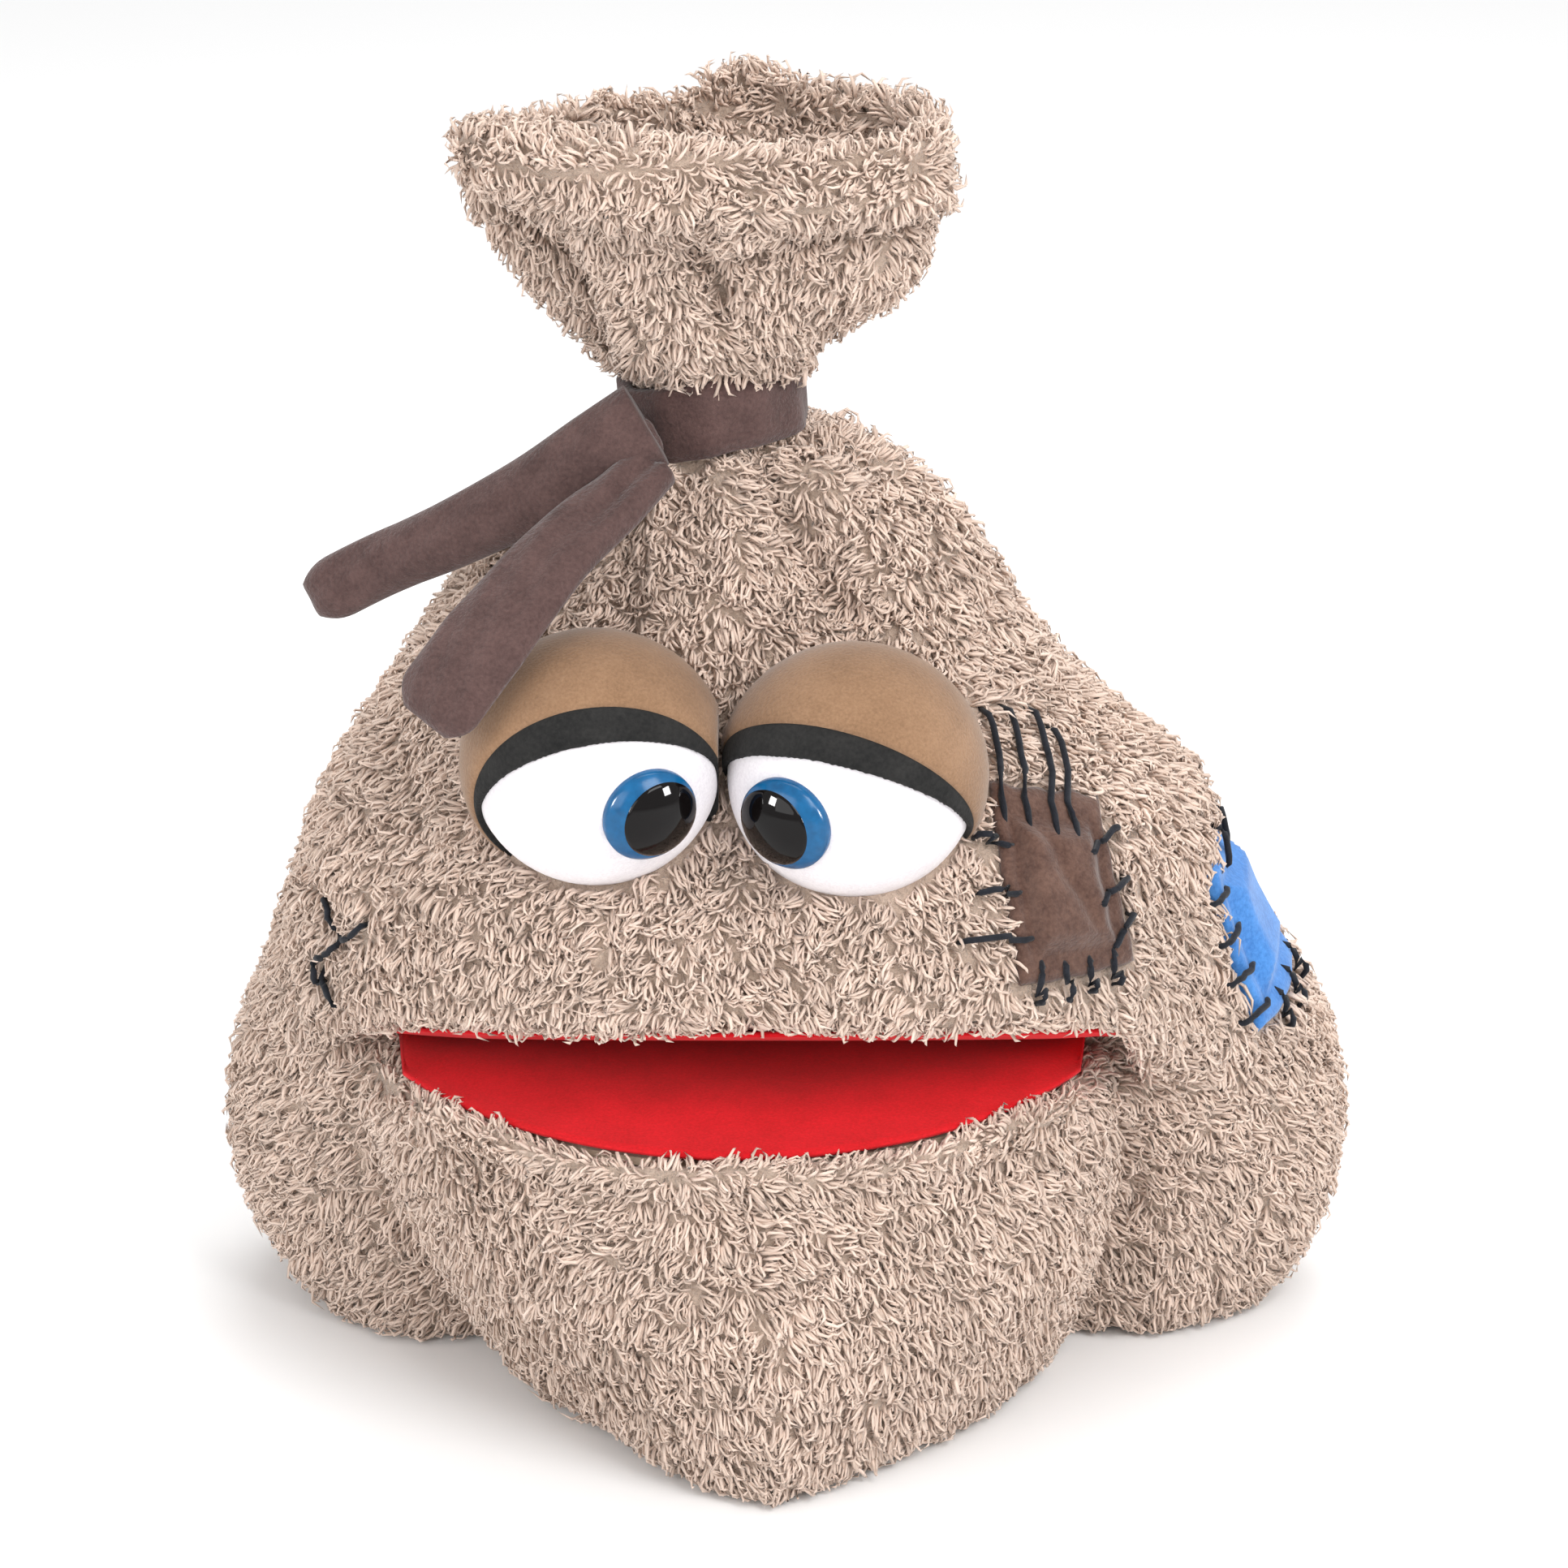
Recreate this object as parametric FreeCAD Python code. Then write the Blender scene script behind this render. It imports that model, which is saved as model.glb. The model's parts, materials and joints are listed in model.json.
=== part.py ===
"""Tied-sack hand puppet: a plush sack with a mouth, a gathered neck and a flared ruff.

Frame: millimetres, +Z up, the face looks along -Y, origin under the middle of the puppet on
the surface it sits on. Left and right are as seen from the front.
"""
import FreeCAD, Part
import math
import os

from FreeCAD import Matrix, Vector

# ---- driving dimensions (mm) ----
PLUSH = 3.0                 # backing and flattened pile of the plush fabric
LINING = 1.5                # thin lining cloth
VELOUR = 2.0                # red mouth velour
BOARD = 2.0                 # stiffener boards in the mouth
GAP = 0.4                   # clearance between pieces on different bodies

BASE_HOLE = Vector(0, 38, 0)
HAND_R = 33.0               # inner radius of the hand opening's hem
SLEEVE_R = 33.8             # inner radius of the sleeve above the hem
HEM_HEIGHT = 25.0
SLEEVE_TOP = 132.0

HINGE = Vector(0, -15, 95)  # fold line of the mouth, along X
UPPER_PALATE_TILT = 22.0    # elevation of the upper palate, forward of the fold
LOWER_PALATE_TILT = -5.0
JAW_UNDERSIDE_TILT = -40.0
SKIRT_TOP_TILT = -57.0
MOUTH_X = -7.0              # the mouth sits a little to the left

NECK = Vector(-18, 10, 257)
NECK_RX = 21.0
NECK_RY = 19.0
BAND_HEIGHT = 20.0
BAND_THICK = 3.0
BAND_TILT = -12.0           # the band climbs to the right
RUFF_PIVOT_R = 26.5         # the ruff rocks on a round seat of this radius
RUFF_WALL = 5.0

EYE_R = 31.0
EYE_DEPTH = 27.0
LID_THICK = 2.5
IRIS_R = 12.0
PUPIL_R = 9.4

# Sack outline: height, left, right, front, back, and the y where it is widest.
SACK = [
    (0, -122, 122, -2, 78, 38),
    (12, -134, 134, -7, 87, 38),
    (36, -142, 142, -12, 94, 36),
    (67, -141, 141, -28, 94, 32),
    (95, -134, 130, -54, 88, 26),
    (122, -126, 116, -77, 82, 18),
    (148, -118, 104, -68, 74, 12),
    (170, -106, 86, -50, 64, 10),
    (193, -91, 65, -34, 54, 9),
    (215, -77, 52, -24, 44, 9),
    (240, -52, 28, -13, 33, 10),
    (254, -38, 3, -8, 28, 10),
]
# Chin lobe outline: height, left, right, front. Its back is open against the sack.
CHIN = [
    (0, -72, 62, -94),
    (40, -95, 80, -95),
    (75, -112, 90, -89),
    (100, -113, 91, -86),
]
# Ruff outline: height, left, right, front, back.
RUFF = [
    (262, -40, 4, -10, 30),
    (280, -48, 12, -16, 36),
    (305, -66, 28, -25, 42),
    (337, -79, 39, -29, 42),
]

EYES = {
    "left": {"centre": Vector(-46.5, -50, 182), "gaze": Vector(0.509, -0.844, -0.170),
             "lid_normal": Vector(-0.094, 0.907, 0.410), "lid_plane": -9.0,
             "lash_normal": Vector(-0.145, 0.743, 0.653), "lash_plane": -8.8},
    "right": {"centre": Vector(17, -50, 178.5), "gaze": Vector(-0.602, -0.785, -0.146),
              "lid_normal": Vector(0.283, 0.715, 0.639), "lid_plane": -3.5,
              "lash_normal": Vector(0.241, 0.590, 0.771), "lash_plane": -6.0},
}
EYE_MEETING_X = -16.0       # where the two balls press together

X_AXIS = Vector(1, 0, 0)
Z_AXIS = Vector(0, 0, 1)
FAR = 400.0                 # longer than the puppet


# ---- helpers ----
def save(name, shape):
    """Write one sub-part, refusing an empty or broken one."""
    solids = [solid for solid in shape.Solids if solid.Volume > 2.0]
    if not solids:
        raise ValueError(name + " has no solid")
    kept = solids[0] if len(solids) == 1 else Part.makeCompound(solids)
    if not kept.isValid():
        kept.fix(0.01, 0.01, 0.01)
    kept.exportStep("parts/" + name + ".step")
    print("%-26s solids %d  volume %10.1f" % (name, len(solids), kept.Volume))
    return kept


def oval(z, left, right, front, back, widest, power=2.35, points=28):
    """Closed smooth outline at one height, with its own front and back depth."""
    middle = (left + right) / 2
    half = (right - left) / 2
    ring = []
    for step in range(points):
        turn = 2 * math.pi * step / points
        cos, sin = math.cos(turn), math.sin(turn)
        x = middle + half * math.copysign(abs(cos) ** (2 / power), cos)
        depth = (back - widest) if sin > 0 else (widest - front)
        ring.append(Vector(x, widest + depth * math.copysign(abs(sin) ** (2 / power), sin), z))
    curve = Part.BSplineCurve()
    curve.interpolate(Points=ring, PeriodicFlag=True)
    return Part.Wire([curve.toShape()])


def sack_solid(offset):
    """The sack's outline grown outwards by offset (negative shrinks it)."""
    wires = []
    for z, left, right, front, back, widest in SACK:
        level = z
        if z == SACK[0][0]:
            level = z - offset
        if z == SACK[-1][0]:
            level = z + offset
        wires.append(oval(level, left - offset, right + offset, front - offset, back + offset, widest))
    return Part.makeLoft(wires, True, False)


def chin_solid(offset, side=0.0):
    """The chin lobe's outline, grown by offset; side widens it further along X."""
    wires = []
    for z, left, right, front in CHIN:
        level = z - offset if z == CHIN[0][0] else z
        wires.append(oval(level, left - offset - side, right + offset + side, front - offset,
                          20 + offset, -2, power=1.9))
    return Part.makeLoft(wires, True, False)


def ruff_solid(offset, lift=0.0):
    """The ruff's flare, grown by offset."""
    wires = []
    for index, (z, left, right, front, back) in enumerate(RUFF):
        level = z + lift if index == len(RUFF) - 1 else z
        wires.append(oval(level, left - offset, right + offset, front - offset, back + offset,
                          (front + back) / 2, power=3.2))
    return Part.makeLoft(wires, True, False)


def box(x0, x1, y0, y1, z0, z1):
    return Part.makeBox(x1 - x0, y1 - y0, z1 - z0, Vector(x0, y0, z0))


def slab(tilt, low, high, near, far, x0, x1):
    """A slab in front of the mouth's fold, tilted about it; low and high are across the slab."""
    block = box(x0, x1, HINGE.y - far, HINGE.y - near, HINGE.z + low, HINGE.z + high)
    block.rotate(HINGE, X_AXIS, -tilt)
    return block


def wedge(top_tilt, bottom_tilt, x0, x1, back=0.0):
    """Everything in front of the fold between two tilts, its edge moved back by back."""
    apex_y = HINGE.y + back
    corners = [Vector(x0, apex_y, HINGE.z)]
    steps = 6
    for step in range(steps + 1):
        tilt = math.radians(top_tilt + (bottom_tilt - top_tilt) * step / steps)
        corners.append(Vector(x0, apex_y - FAR * math.cos(tilt), HINGE.z + FAR * math.sin(tilt)))
    face = Part.Face(Part.makePolygon(corners + corners[:1]))
    return face.extrude(Vector(x1 - x0, 0, 0))


def ellipsoid(centre, rx, ry, rz):
    ball = Part.makeSphere(1.0)
    stretch = Matrix(rx, 0, 0, centre.x, 0, ry, 0, centre.y, 0, 0, rz, centre.z, 0, 0, 0, 1)
    return ball.transformGeometry(stretch)


def half_space(point, normal):
    """A large block covering the side of a plane that its normal points to."""
    block = Part.makeBox(FAR * 2, FAR * 2, FAR, Vector(-FAR, -FAR, 0))
    turn = FreeCAD.Rotation(Z_AXIS, normal)
    block.Placement = FreeCAD.Placement(point, turn)
    return block


def rod(start, end, radius):
    """A round bar with ball ends, for one stitch."""
    along = end - start
    bar = Part.makeCylinder(radius, along.Length, start, along)
    return bar.fuse([Part.makeSphere(radius, start), Part.makeSphere(radius, end)])


def surface_point(solid, point, direction):
    """Where a line from point along direction first meets a solid."""
    ray = Part.makeLine(point, point + direction * FAR)
    hits = solid.common(ray).Vertexes
    return min((vertex.Point for vertex in hits), key=lambda hit: (hit - point).Length)


def tube_along(points, width, thick, flat):
    """A stuffed strap through points; flat is roughly the way its broad face looks."""
    wires = []
    for index, point in enumerate(points):
        before = points[max(index - 1, 0)]
        after = points[min(index + 1, len(points) - 1)]
        along = (after - before).normalize()
        across = along.cross(flat).normalize()
        out = across.cross(along).normalize()
        swell = 0.72 if index in (0, len(points) - 1) else 1.0
        ring = []
        for step in range(16):
            turn = 2 * math.pi * step / 16
            ring.append(point + across * (width / 2 * swell * math.cos(turn))
                        + out * (thick / 2 * swell * math.sin(turn)))
        curve = Part.BSplineCurve()
        curve.interpolate(Points=ring, PeriodicFlag=True)
        wires.append(Part.Wire([curve.toShape()]))
    return Part.makeLoft(wires, True, False)


# ---- the sack ----
def neck_ring(grow):
    """The neck's oval between the band's edges, grown by grow and tilted like the band."""
    wires = [oval(level, -NECK_RX - grow, NECK_RX + grow, -NECK_RY - grow, NECK_RY + grow, 0, 2.0)
             for level in (-BAND_HEIGHT / 2, BAND_HEIGHT / 2)]
    ring = Part.makeLoft(wires, True, False)
    ring.Placement = FreeCAD.Placement(NECK, FreeCAD.Rotation(Vector(0, 1, 0), BAND_TILT))
    return ring


def mouth_room():
    """Space kept free for the jaw to swing in."""
    wires = []
    z, left, right, front = CHIN[-1]
    for level in (-10, 170):
        wires.append(oval(level, left - 4, right + 4, front - 30, 60, -2, power=1.9))
    return Part.makeLoft(wires, True, False).common(
        wedge(UPPER_PALATE_TILT, SKIRT_TOP_TILT, -FAR / 2, FAR / 2, 3.0))


def make_sack():
    outer = sack_solid(0)
    inner = sack_solid(-PLUSH)
    room = mouth_room()
    under_band = neck_ring(BAND_THICK + 0.3)
    hand_hole = Part.makeCylinder(SLEEVE_R + LINING, SLEEVE_TOP + 6, Vector(BASE_HOLE.x, BASE_HOLE.y, -5))
    base_slice = outer.common(box(-FAR, FAR, -FAR, FAR, 0, PLUSH))
    sleeve_clear = Part.makeCylinder(HAND_R + PLUSH, PLUSH + 5, Vector(BASE_HOLE.x, BASE_HOLE.y, -1))
    save("base_panel", base_slice.cut(sleeve_clear).cut(room))

    skin = outer.cut(inner).cut(base_slice).cut(room).cut(under_band)
    centre = Vector(NECK.x, NECK.y, 0)
    quarter = {"sack_front": (-142, -38), "sack_side_right": (-38, 52),
               "sack_back": (52, 128), "sack_side_left": (128, 218)}
    for name, (start, end) in quarter.items():
        corners = [centre]
        for step in range(5):
            turn = math.radians(start + (end - start) * step / 4)
            corners.append(centre + Vector(math.cos(turn), math.sin(turn), 0) * FAR)
        sector = Part.Face(Part.makePolygon(corners + corners[:1])).extrude(Vector(0, 0, FAR))
        sector.translate(Vector(0, 0, -1))
        piece = skin.common(sector)
        if name == "sack_front":
            save("under_chin_panel", piece.common(box(-FAR, FAR, -FAR, FAR, -1, HINGE.z)))
            piece = piece.common(box(-FAR, FAR, -FAR, FAR, HINGE.z, FAR))
        save(name, piece)

    # Linings and boards
    sleeve_base = BASE_HOLE + Z_AXIS * HEM_HEIGHT
    tube = Part.makeCylinder(SLEEVE_R + LINING, SLEEVE_TOP - HEM_HEIGHT, sleeve_base)
    bore = Part.makeCylinder(SLEEVE_R, SLEEVE_TOP - HEM_HEIGHT - LINING, sleeve_base)
    window = box(-30, 30, -20, BASE_HOLE.y, 50, 122)
    save("hand_sleeve", tube.cut(bore).cut(window))
    hem = Part.makeCylinder(HAND_R + PLUSH, HEM_HEIGHT, BASE_HOLE)
    save("sleeve_hem", hem.cut(Part.makeCylinder(HAND_R, HEM_HEIGHT, BASE_HOLE)))

    palate_plan = sack_solid(-PLUSH - 1)
    palate = slab(UPPER_PALATE_TILT, 0.2, VELOUR, 3, 110, -100, 86)
    save("upper_palate", palate.common(palate_plan))
    board = slab(UPPER_PALATE_TILT, VELOUR, VELOUR + BOARD, 5, 62, MOUTH_X - 62, MOUTH_X + 62)
    save("upper_mouth_board", board.common(sack_solid(-PLUSH - 4)))
    low = VELOUR + BOARD
    pocket_outer = slab(UPPER_PALATE_TILT, low, low + 27, 5, 56, MOUTH_X - 36, MOUTH_X + 36)
    pocket_inner = slab(UPPER_PALATE_TILT, low + LINING, low + 27 - LINING, -10, 56 - LINING,
                        MOUTH_X - 36 + LINING, MOUTH_X + 36 - LINING)
    save("finger_pocket", pocket_outer.cut(pocket_inner))

    # Stuffing, in four bags around the hand
    left_cut, right_cut = -46, 43
    passage = box(left_cut, right_cut, -60, BASE_HOLE.y, 38, 128)
    passage = passage.cut(half_space(HINGE + Vector(0, 0, low), Vector(
        0, math.sin(math.radians(UPPER_PALATE_TILT)), math.cos(math.radians(UPPER_PALATE_TILT)))
        ).common(box(-FAR, FAR, -FAR, HINGE.y, 0, FAR)))
    finger_room = slab(UPPER_PALATE_TILT, low - 1, low + 27, -20, 56, left_cut, right_cut)
    hem_room = Part.makeCylinder(HAND_R + PLUSH, HEM_HEIGHT + 1, Vector(BASE_HOLE.x, BASE_HOLE.y, -1))
    mouth_layers = slab(UPPER_PALATE_TILT, -5, low, -3, 120, -130, 110)
    stuffing = inner.cut(base_slice).cut(room).cut(hand_hole).cut(hem_room).cut(passage)
    stuffing = stuffing.cut(finger_room).cut(mouth_layers).cut(under_band)
    save("cheek_filling_left", stuffing.common(box(-FAR, left_cut, -FAR, FAR, 0, 172)))
    save("cheek_filling_right", stuffing.common(box(right_cut, FAR, -FAR, FAR, 0, 172)))
    middle = stuffing.common(box(left_cut, right_cut, -FAR, FAR, 0, 172))
    save("back_filling", middle.common(box(-FAR, FAR, BASE_HOLE.y, FAR, 0, FAR)))
    over_fingers = slab(UPPER_PALATE_TILT, low + 27, 200, -150, 200, -FAR / 2, FAR / 2)
    upper = middle.common(box(-FAR, FAR, -FAR, BASE_HOLE.y, HINGE.z, FAR))
    save("muzzle_filling", upper.common(over_fingers))
    save("upper_lip_filling", upper.cut(over_fingers))
    save("under_mouth_filling", middle.common(box(-FAR, FAR, -FAR, BASE_HOLE.y, 0, 38)))
    save("forehead_filling", stuffing.common(box(-FAR, FAR, -FAR, FAR, 172, FAR)))

    lobe = chin_solid(0).common(wedge(SKIRT_TOP_TILT, -89.9, -FAR / 2, FAR / 2, 3.0)
                                .fuse(box(-FAR, FAR, HINGE.y - 0.01, FAR, -1, HINGE.z - 60)))
    lobe = lobe.common(box(-FAR, FAR, -FAR, FAR, 0, FAR))
    save("chin_skirt", lobe.cut(outer))
    return outer


# ---- the jaw ----
def make_jaw():
    lobe = chin_solid(0).fuse(Part.makeLoft([
        oval(z, CHIN[-1][1], CHIN[-1][2], CHIN[-1][3], 20, -2, power=1.9) for z in (100, 130)],
        True, False))
    core = chin_solid(-PLUSH)
    swing = wedge(LOWER_PALATE_TILT, JAW_UNDERSIDE_TILT, -FAR / 2, FAR / 2, -4.0)
    save("chin_panel", lobe.cut(core).common(swing))

    palate = slab(LOWER_PALATE_TILT, -VELOUR, -0.2, 4.5, 110, MOUTH_X - 90, MOUTH_X + 84)
    save("lower_palate", palate.common(chin_solid(-PLUSH - 0.2)))
    low = -VELOUR - BOARD
    board = slab(LOWER_PALATE_TILT, low, -VELOUR, 6, 66, MOUTH_X - 62, MOUTH_X + 62)
    save("lower_mouth_board", board.common(chin_solid(-PLUSH - 3)))

    depth = 23
    half = 20
    pocket = slab(LOWER_PALATE_TILT, low - depth, low, 30, 64, MOUTH_X - half, MOUTH_X + half)
    hollow = slab(LOWER_PALATE_TILT, low - depth + LINING, low - LINING, 10, 64 - LINING,
                  MOUTH_X - half + LINING, MOUTH_X + half - LINING)
    save("thumb_pocket", pocket.cut(hollow).common(swing))
    way_in = slab(LOWER_PALATE_TILT, low - depth, low, -5, 64, MOUTH_X - half, MOUTH_X + half)
    layers = slab(LOWER_PALATE_TILT, low, 10, 0, 130, -140, 120)
    save("jaw_filling", core.common(swing).cut(layers).cut(way_in))


# ---- eyes ----
def make_eyes(outer):
    for side, eye in EYES.items():
        centre = eye["centre"]
        normal = Vector(eye["lid_normal"]).normalize()
        gaze = Vector(eye["gaze"]).normalize()
        keep = half_space(Vector(EYE_MEETING_X, 0, 0), X_AXIS if side == "right" else -X_AXIS)
        ball = ellipsoid(centre, EYE_R, EYE_DEPTH, EYE_R)
        lid_inner = ellipsoid(centre, EYE_R + 0.2, EYE_DEPTH + 0.2, EYE_R + 0.2)
        lid_outer = ellipsoid(centre, EYE_R + LID_THICK, EYE_DEPTH + LID_THICK, EYE_R + LID_THICK)
        shell = lid_outer.cut(lid_inner).common(keep).cut(outer)
        lash_normal = Vector(eye["lash_normal"]).normalize()
        over_lid_edge = half_space(centre + normal * eye["lid_plane"], normal)
        over_lash_edge = half_space(centre + lash_normal * eye["lash_plane"], lash_normal)
        save("eyelid_" + side, shell.common(over_lid_edge))
        save("lash_band_" + side, shell.common(over_lash_edge).cut(over_lid_edge))

        # The plastic eye is pushed through the ball: stem and washer inside it
        seat = surface_point(ball, centre + gaze * 100, -gaze)
        turn = FreeCAD.Rotation(Z_AXIS, gaze)

        def lathe(radius, low, high):
            disc = Part.makeCylinder(radius, high - low, Vector(0, 0, low))
            disc.Placement = FreeCAD.Placement(seat, turn)
            return disc

        iris = lathe(IRIS_R, -1.5, 0.7)
        pupil = lathe(PUPIL_R, 0.7, 1.2)
        dome = Part.makeSphere(16.0, Vector(0, 0, -9.9))
        dome = dome.common(Part.makeCylinder(IRIS_R, 20, Vector(0, 0, 0.7)))
        dome.Placement = FreeCAD.Placement(seat, turn)
        stem = lathe(2.5, -16, -1.5)
        washer = lathe(9.0, -14, -12.5).cut(stem)
        hollow = lathe(IRIS_R, -1.5, 3).fuse([lathe(9.0, -14, -12.5), stem])
        save("eyeball_" + side, ball.common(keep).cut(outer).cut(hollow))
        save("iris_" + side, iris)
        save("pupil_" + side, pupil)
        save("eye_lens_" + side, dome.cut(pupil))
        save("eye_stem_" + side, stem)
        save("eye_washer_" + side, washer)


# ---- neck, tie and ruff ----
def make_neck(outer):
    seat = Part.makeCylinder(RUFF_PIVOT_R - GAP, FAR, Vector(-FAR / 2, NECK.y, NECK.z), X_AXIS)
    plan = Part.makeCylinder(1.0, 36)
    plan = plan.transformGeometry(Matrix(NECK_RX, 0, 0, NECK.x, 0, NECK_RY, 0, NECK.y,
                                         0, 0, 1, 248, 0, 0, 0, 1))
    under_band = neck_ring(BAND_THICK + 0.3)
    gather = plan.common(seat).cut(outer.cut(under_band))
    save("neck_gather", gather)

    knot = ellipsoid(Vector(-36, -15, 250), 9, 8, 11)
    band = neck_ring(BAND_THICK).cut(neck_ring(0.3)).cut(plan).cut(knot)
    save("neck_band", band)
    save("tie_knot", knot.cut(outer).cut(neck_ring(0.3)).cut(gather))

    pivot = Part.makeCylinder(RUFF_PIVOT_R, FAR, Vector(-FAR / 2, NECK.y, NECK.z), X_AXIS)
    body = ruff_solid(0).cut(ruff_solid(-RUFF_WALL, 1).common(box(-FAR, FAR, -FAR, FAR, 286, FAR)))
    body = body.cut(pivot)
    hem_zone = box(-FAR, FAR, -FAR, FAR, 329, FAR)
    save("ruff_panels", body.cut(hem_zone))
    rim = ruff_solid(0).cut(ruff_solid(-RUFF_WALL - 1, 1)).common(hem_zone)
    save("ruff_hem", rim)

    upper = tube_along([Vector(-45, -17, 248), Vector(-62, -18, 239), Vector(-82, -14, 228),
                        Vector(-102, -8, 217), Vector(-117, -5, 208)], 18, 12, Vector(0, -1, 0.3))
    knot_room = ellipsoid(Vector(-36, -15, 250), 9 + GAP, 8 + GAP, 11 + GAP)
    save("tie_tail_upper", upper.cut(knot_room))
    lower = tube_along([Vector(-40, -29, 245), Vector(-54, -44, 236), Vector(-68, -58, 222),
                        Vector(-80, -67, 206), Vector(-89, -70, 188)], 22, 7, Vector(-0.4, -0.8, 0.3))
    save("tie_tail_lower", lower.cut(knot_room))


# ---- patches and stitches ----
def stitches(solid, pairs, direction, radius=0.8):
    """Short threads laid on a solid's surface, each given by two points in front of it."""
    bars = []
    for start, end in pairs:
        ends = [surface_point(solid, point, direction) - direction * (radius + 0.9)
                for point in (start, end)]
        bars.append(rod(ends[0], ends[1], radius).cut(solid))
    return Part.makeCompound(bars)


def on_patch(corners, across, down):
    """A place on a four-cornered patch, from shares of the way across and down."""
    a, b, c, d = corners
    return tuple((a[i] * (1 - across) + b[i] * across) * (1 - down)
                 + (d[i] * (1 - across) + c[i] * across) * down for i in range(2))


def make_patches(outer):
    grown = sack_solid(4.0)
    room = mouth_room()
    front = Vector(0, -200, 0)
    corners = [(50.5, 172.5), (77.5, 165), (86.5, 128.5), (58, 129.5)]
    cheek = Part.Face(Part.makePolygon([Vector(x, -200, z) for x, z in corners + corners[:1]]))
    cheek_patch = grown.cut(outer).cut(room).common(cheek.extrude(Vector(0, 190, 0)))
    save("cheek_patch", cheek_patch)
    shares = [((0.08, -0.30), (0.15, 0.13)), ((0.27, -0.34), (0.36, 0.12)),
              ((0.48, -0.34), (0.60, 0.13)), ((0.64, -0.28), (0.80, 0.15)),
              ((-0.10, 0.24), (0.16, 0.24)), ((-0.26, 0.54), (0.17, 0.48)),
              ((-0.44, 0.76), (0.20, 0.72)),
              ((0.88, 0.20), (1.13, 0.16)), ((0.86, 0.52), (1.10, 0.46)),
              ((0.88, 0.86), (1.08, 0.72)),
              ((0.24, 0.86), (0.12, 1.14)), ((0.44, 0.87), (0.36, 1.15)),
              ((0.66, 0.87), (0.58, 1.14)), ((0.88, 0.86), (0.80, 1.14))]
    strokes = [[on_patch(corners, *end) for end in stroke] for stroke in shares]
    pairs = [(front + Vector(a[0], 0, a[1]), front + Vector(b[0], 0, b[1])) for a, b in strokes]
    save("cheek_patch_stitches", stitches(outer.fuse(cheek_patch), pairs, Vector(0, 1, 0)))

    corners = [(-14, 134), (26, 138), (30, 96), (-10, 92)]
    side = Part.Face(Part.makePolygon([Vector(200, y, z) for y, z in corners + corners[:1]]))
    side_patch = grown.cut(outer).common(side.extrude(Vector(-160, 0, 0)))
    save("side_patch", side_patch)
    strokes = [((-19, 127), (-8, 126)), ((-18, 116), (-7, 115)), ((-17, 105), (-6, 104)),
               ((0, 98), (0, 88)), ((12, 99), (12, 89)), ((24, 101), (25, 91)),
               ((2, 131), (2, 141)), ((14, 132), (14, 142))]
    pairs = [(Vector(200, a[0], a[1]), Vector(200, b[0], b[1])) for a, b in strokes]
    save("side_patch_stitches", stitches(outer.fuse(side_patch), pairs, Vector(-1, 0, 0)))

    strokes = [((-114, 134), (-109, 127)), ((-109, 131), (-105, 134)), ((-110, 128), (-117, 118)),
               ((-117, 118), (-116, 112)), ((-113, 118), (-109, 111))]
    pairs = [(front + Vector(a[0], 0, a[1]), front + Vector(b[0], 0, b[1])) for a, b in strokes]
    save("scar_stitches", stitches(outer, pairs, Vector(0, 1, 0)))


def main():
    os.makedirs("parts", exist_ok=True)
    outer = make_sack()
    make_jaw()
    make_eyes(outer)
    make_neck(outer)
    make_patches(outer)


main()
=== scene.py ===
"""Looks of the tied-sack hand puppet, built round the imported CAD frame.

Everything is in metres in the row's own frame: +Z up, the face looks along -Y.
"""
import bmesh
import bpy
import json
import math
import numpy as np
from mathutils import Matrix, Vector
from mathutils.bvhtree import BVHTree
from mathutils.kdtree import KDTree


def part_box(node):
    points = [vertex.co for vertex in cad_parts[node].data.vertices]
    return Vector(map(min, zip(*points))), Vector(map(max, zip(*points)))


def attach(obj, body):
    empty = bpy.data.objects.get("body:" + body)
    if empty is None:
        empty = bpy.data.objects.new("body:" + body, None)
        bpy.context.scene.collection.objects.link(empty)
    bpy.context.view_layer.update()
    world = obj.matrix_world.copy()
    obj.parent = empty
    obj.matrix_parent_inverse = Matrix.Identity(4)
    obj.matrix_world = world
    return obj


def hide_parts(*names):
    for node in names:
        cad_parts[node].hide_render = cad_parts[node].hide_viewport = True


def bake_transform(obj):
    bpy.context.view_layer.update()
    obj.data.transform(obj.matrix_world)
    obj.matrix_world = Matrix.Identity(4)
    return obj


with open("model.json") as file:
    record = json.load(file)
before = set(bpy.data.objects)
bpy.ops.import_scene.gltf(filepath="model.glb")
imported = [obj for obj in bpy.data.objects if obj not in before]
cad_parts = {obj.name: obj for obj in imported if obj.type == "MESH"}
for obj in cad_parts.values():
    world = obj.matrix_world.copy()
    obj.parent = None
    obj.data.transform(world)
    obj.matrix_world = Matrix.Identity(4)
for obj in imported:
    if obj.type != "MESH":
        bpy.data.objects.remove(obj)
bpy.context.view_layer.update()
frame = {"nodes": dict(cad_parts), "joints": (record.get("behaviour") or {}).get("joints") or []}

MM = 0.001
SEED = 11

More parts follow.
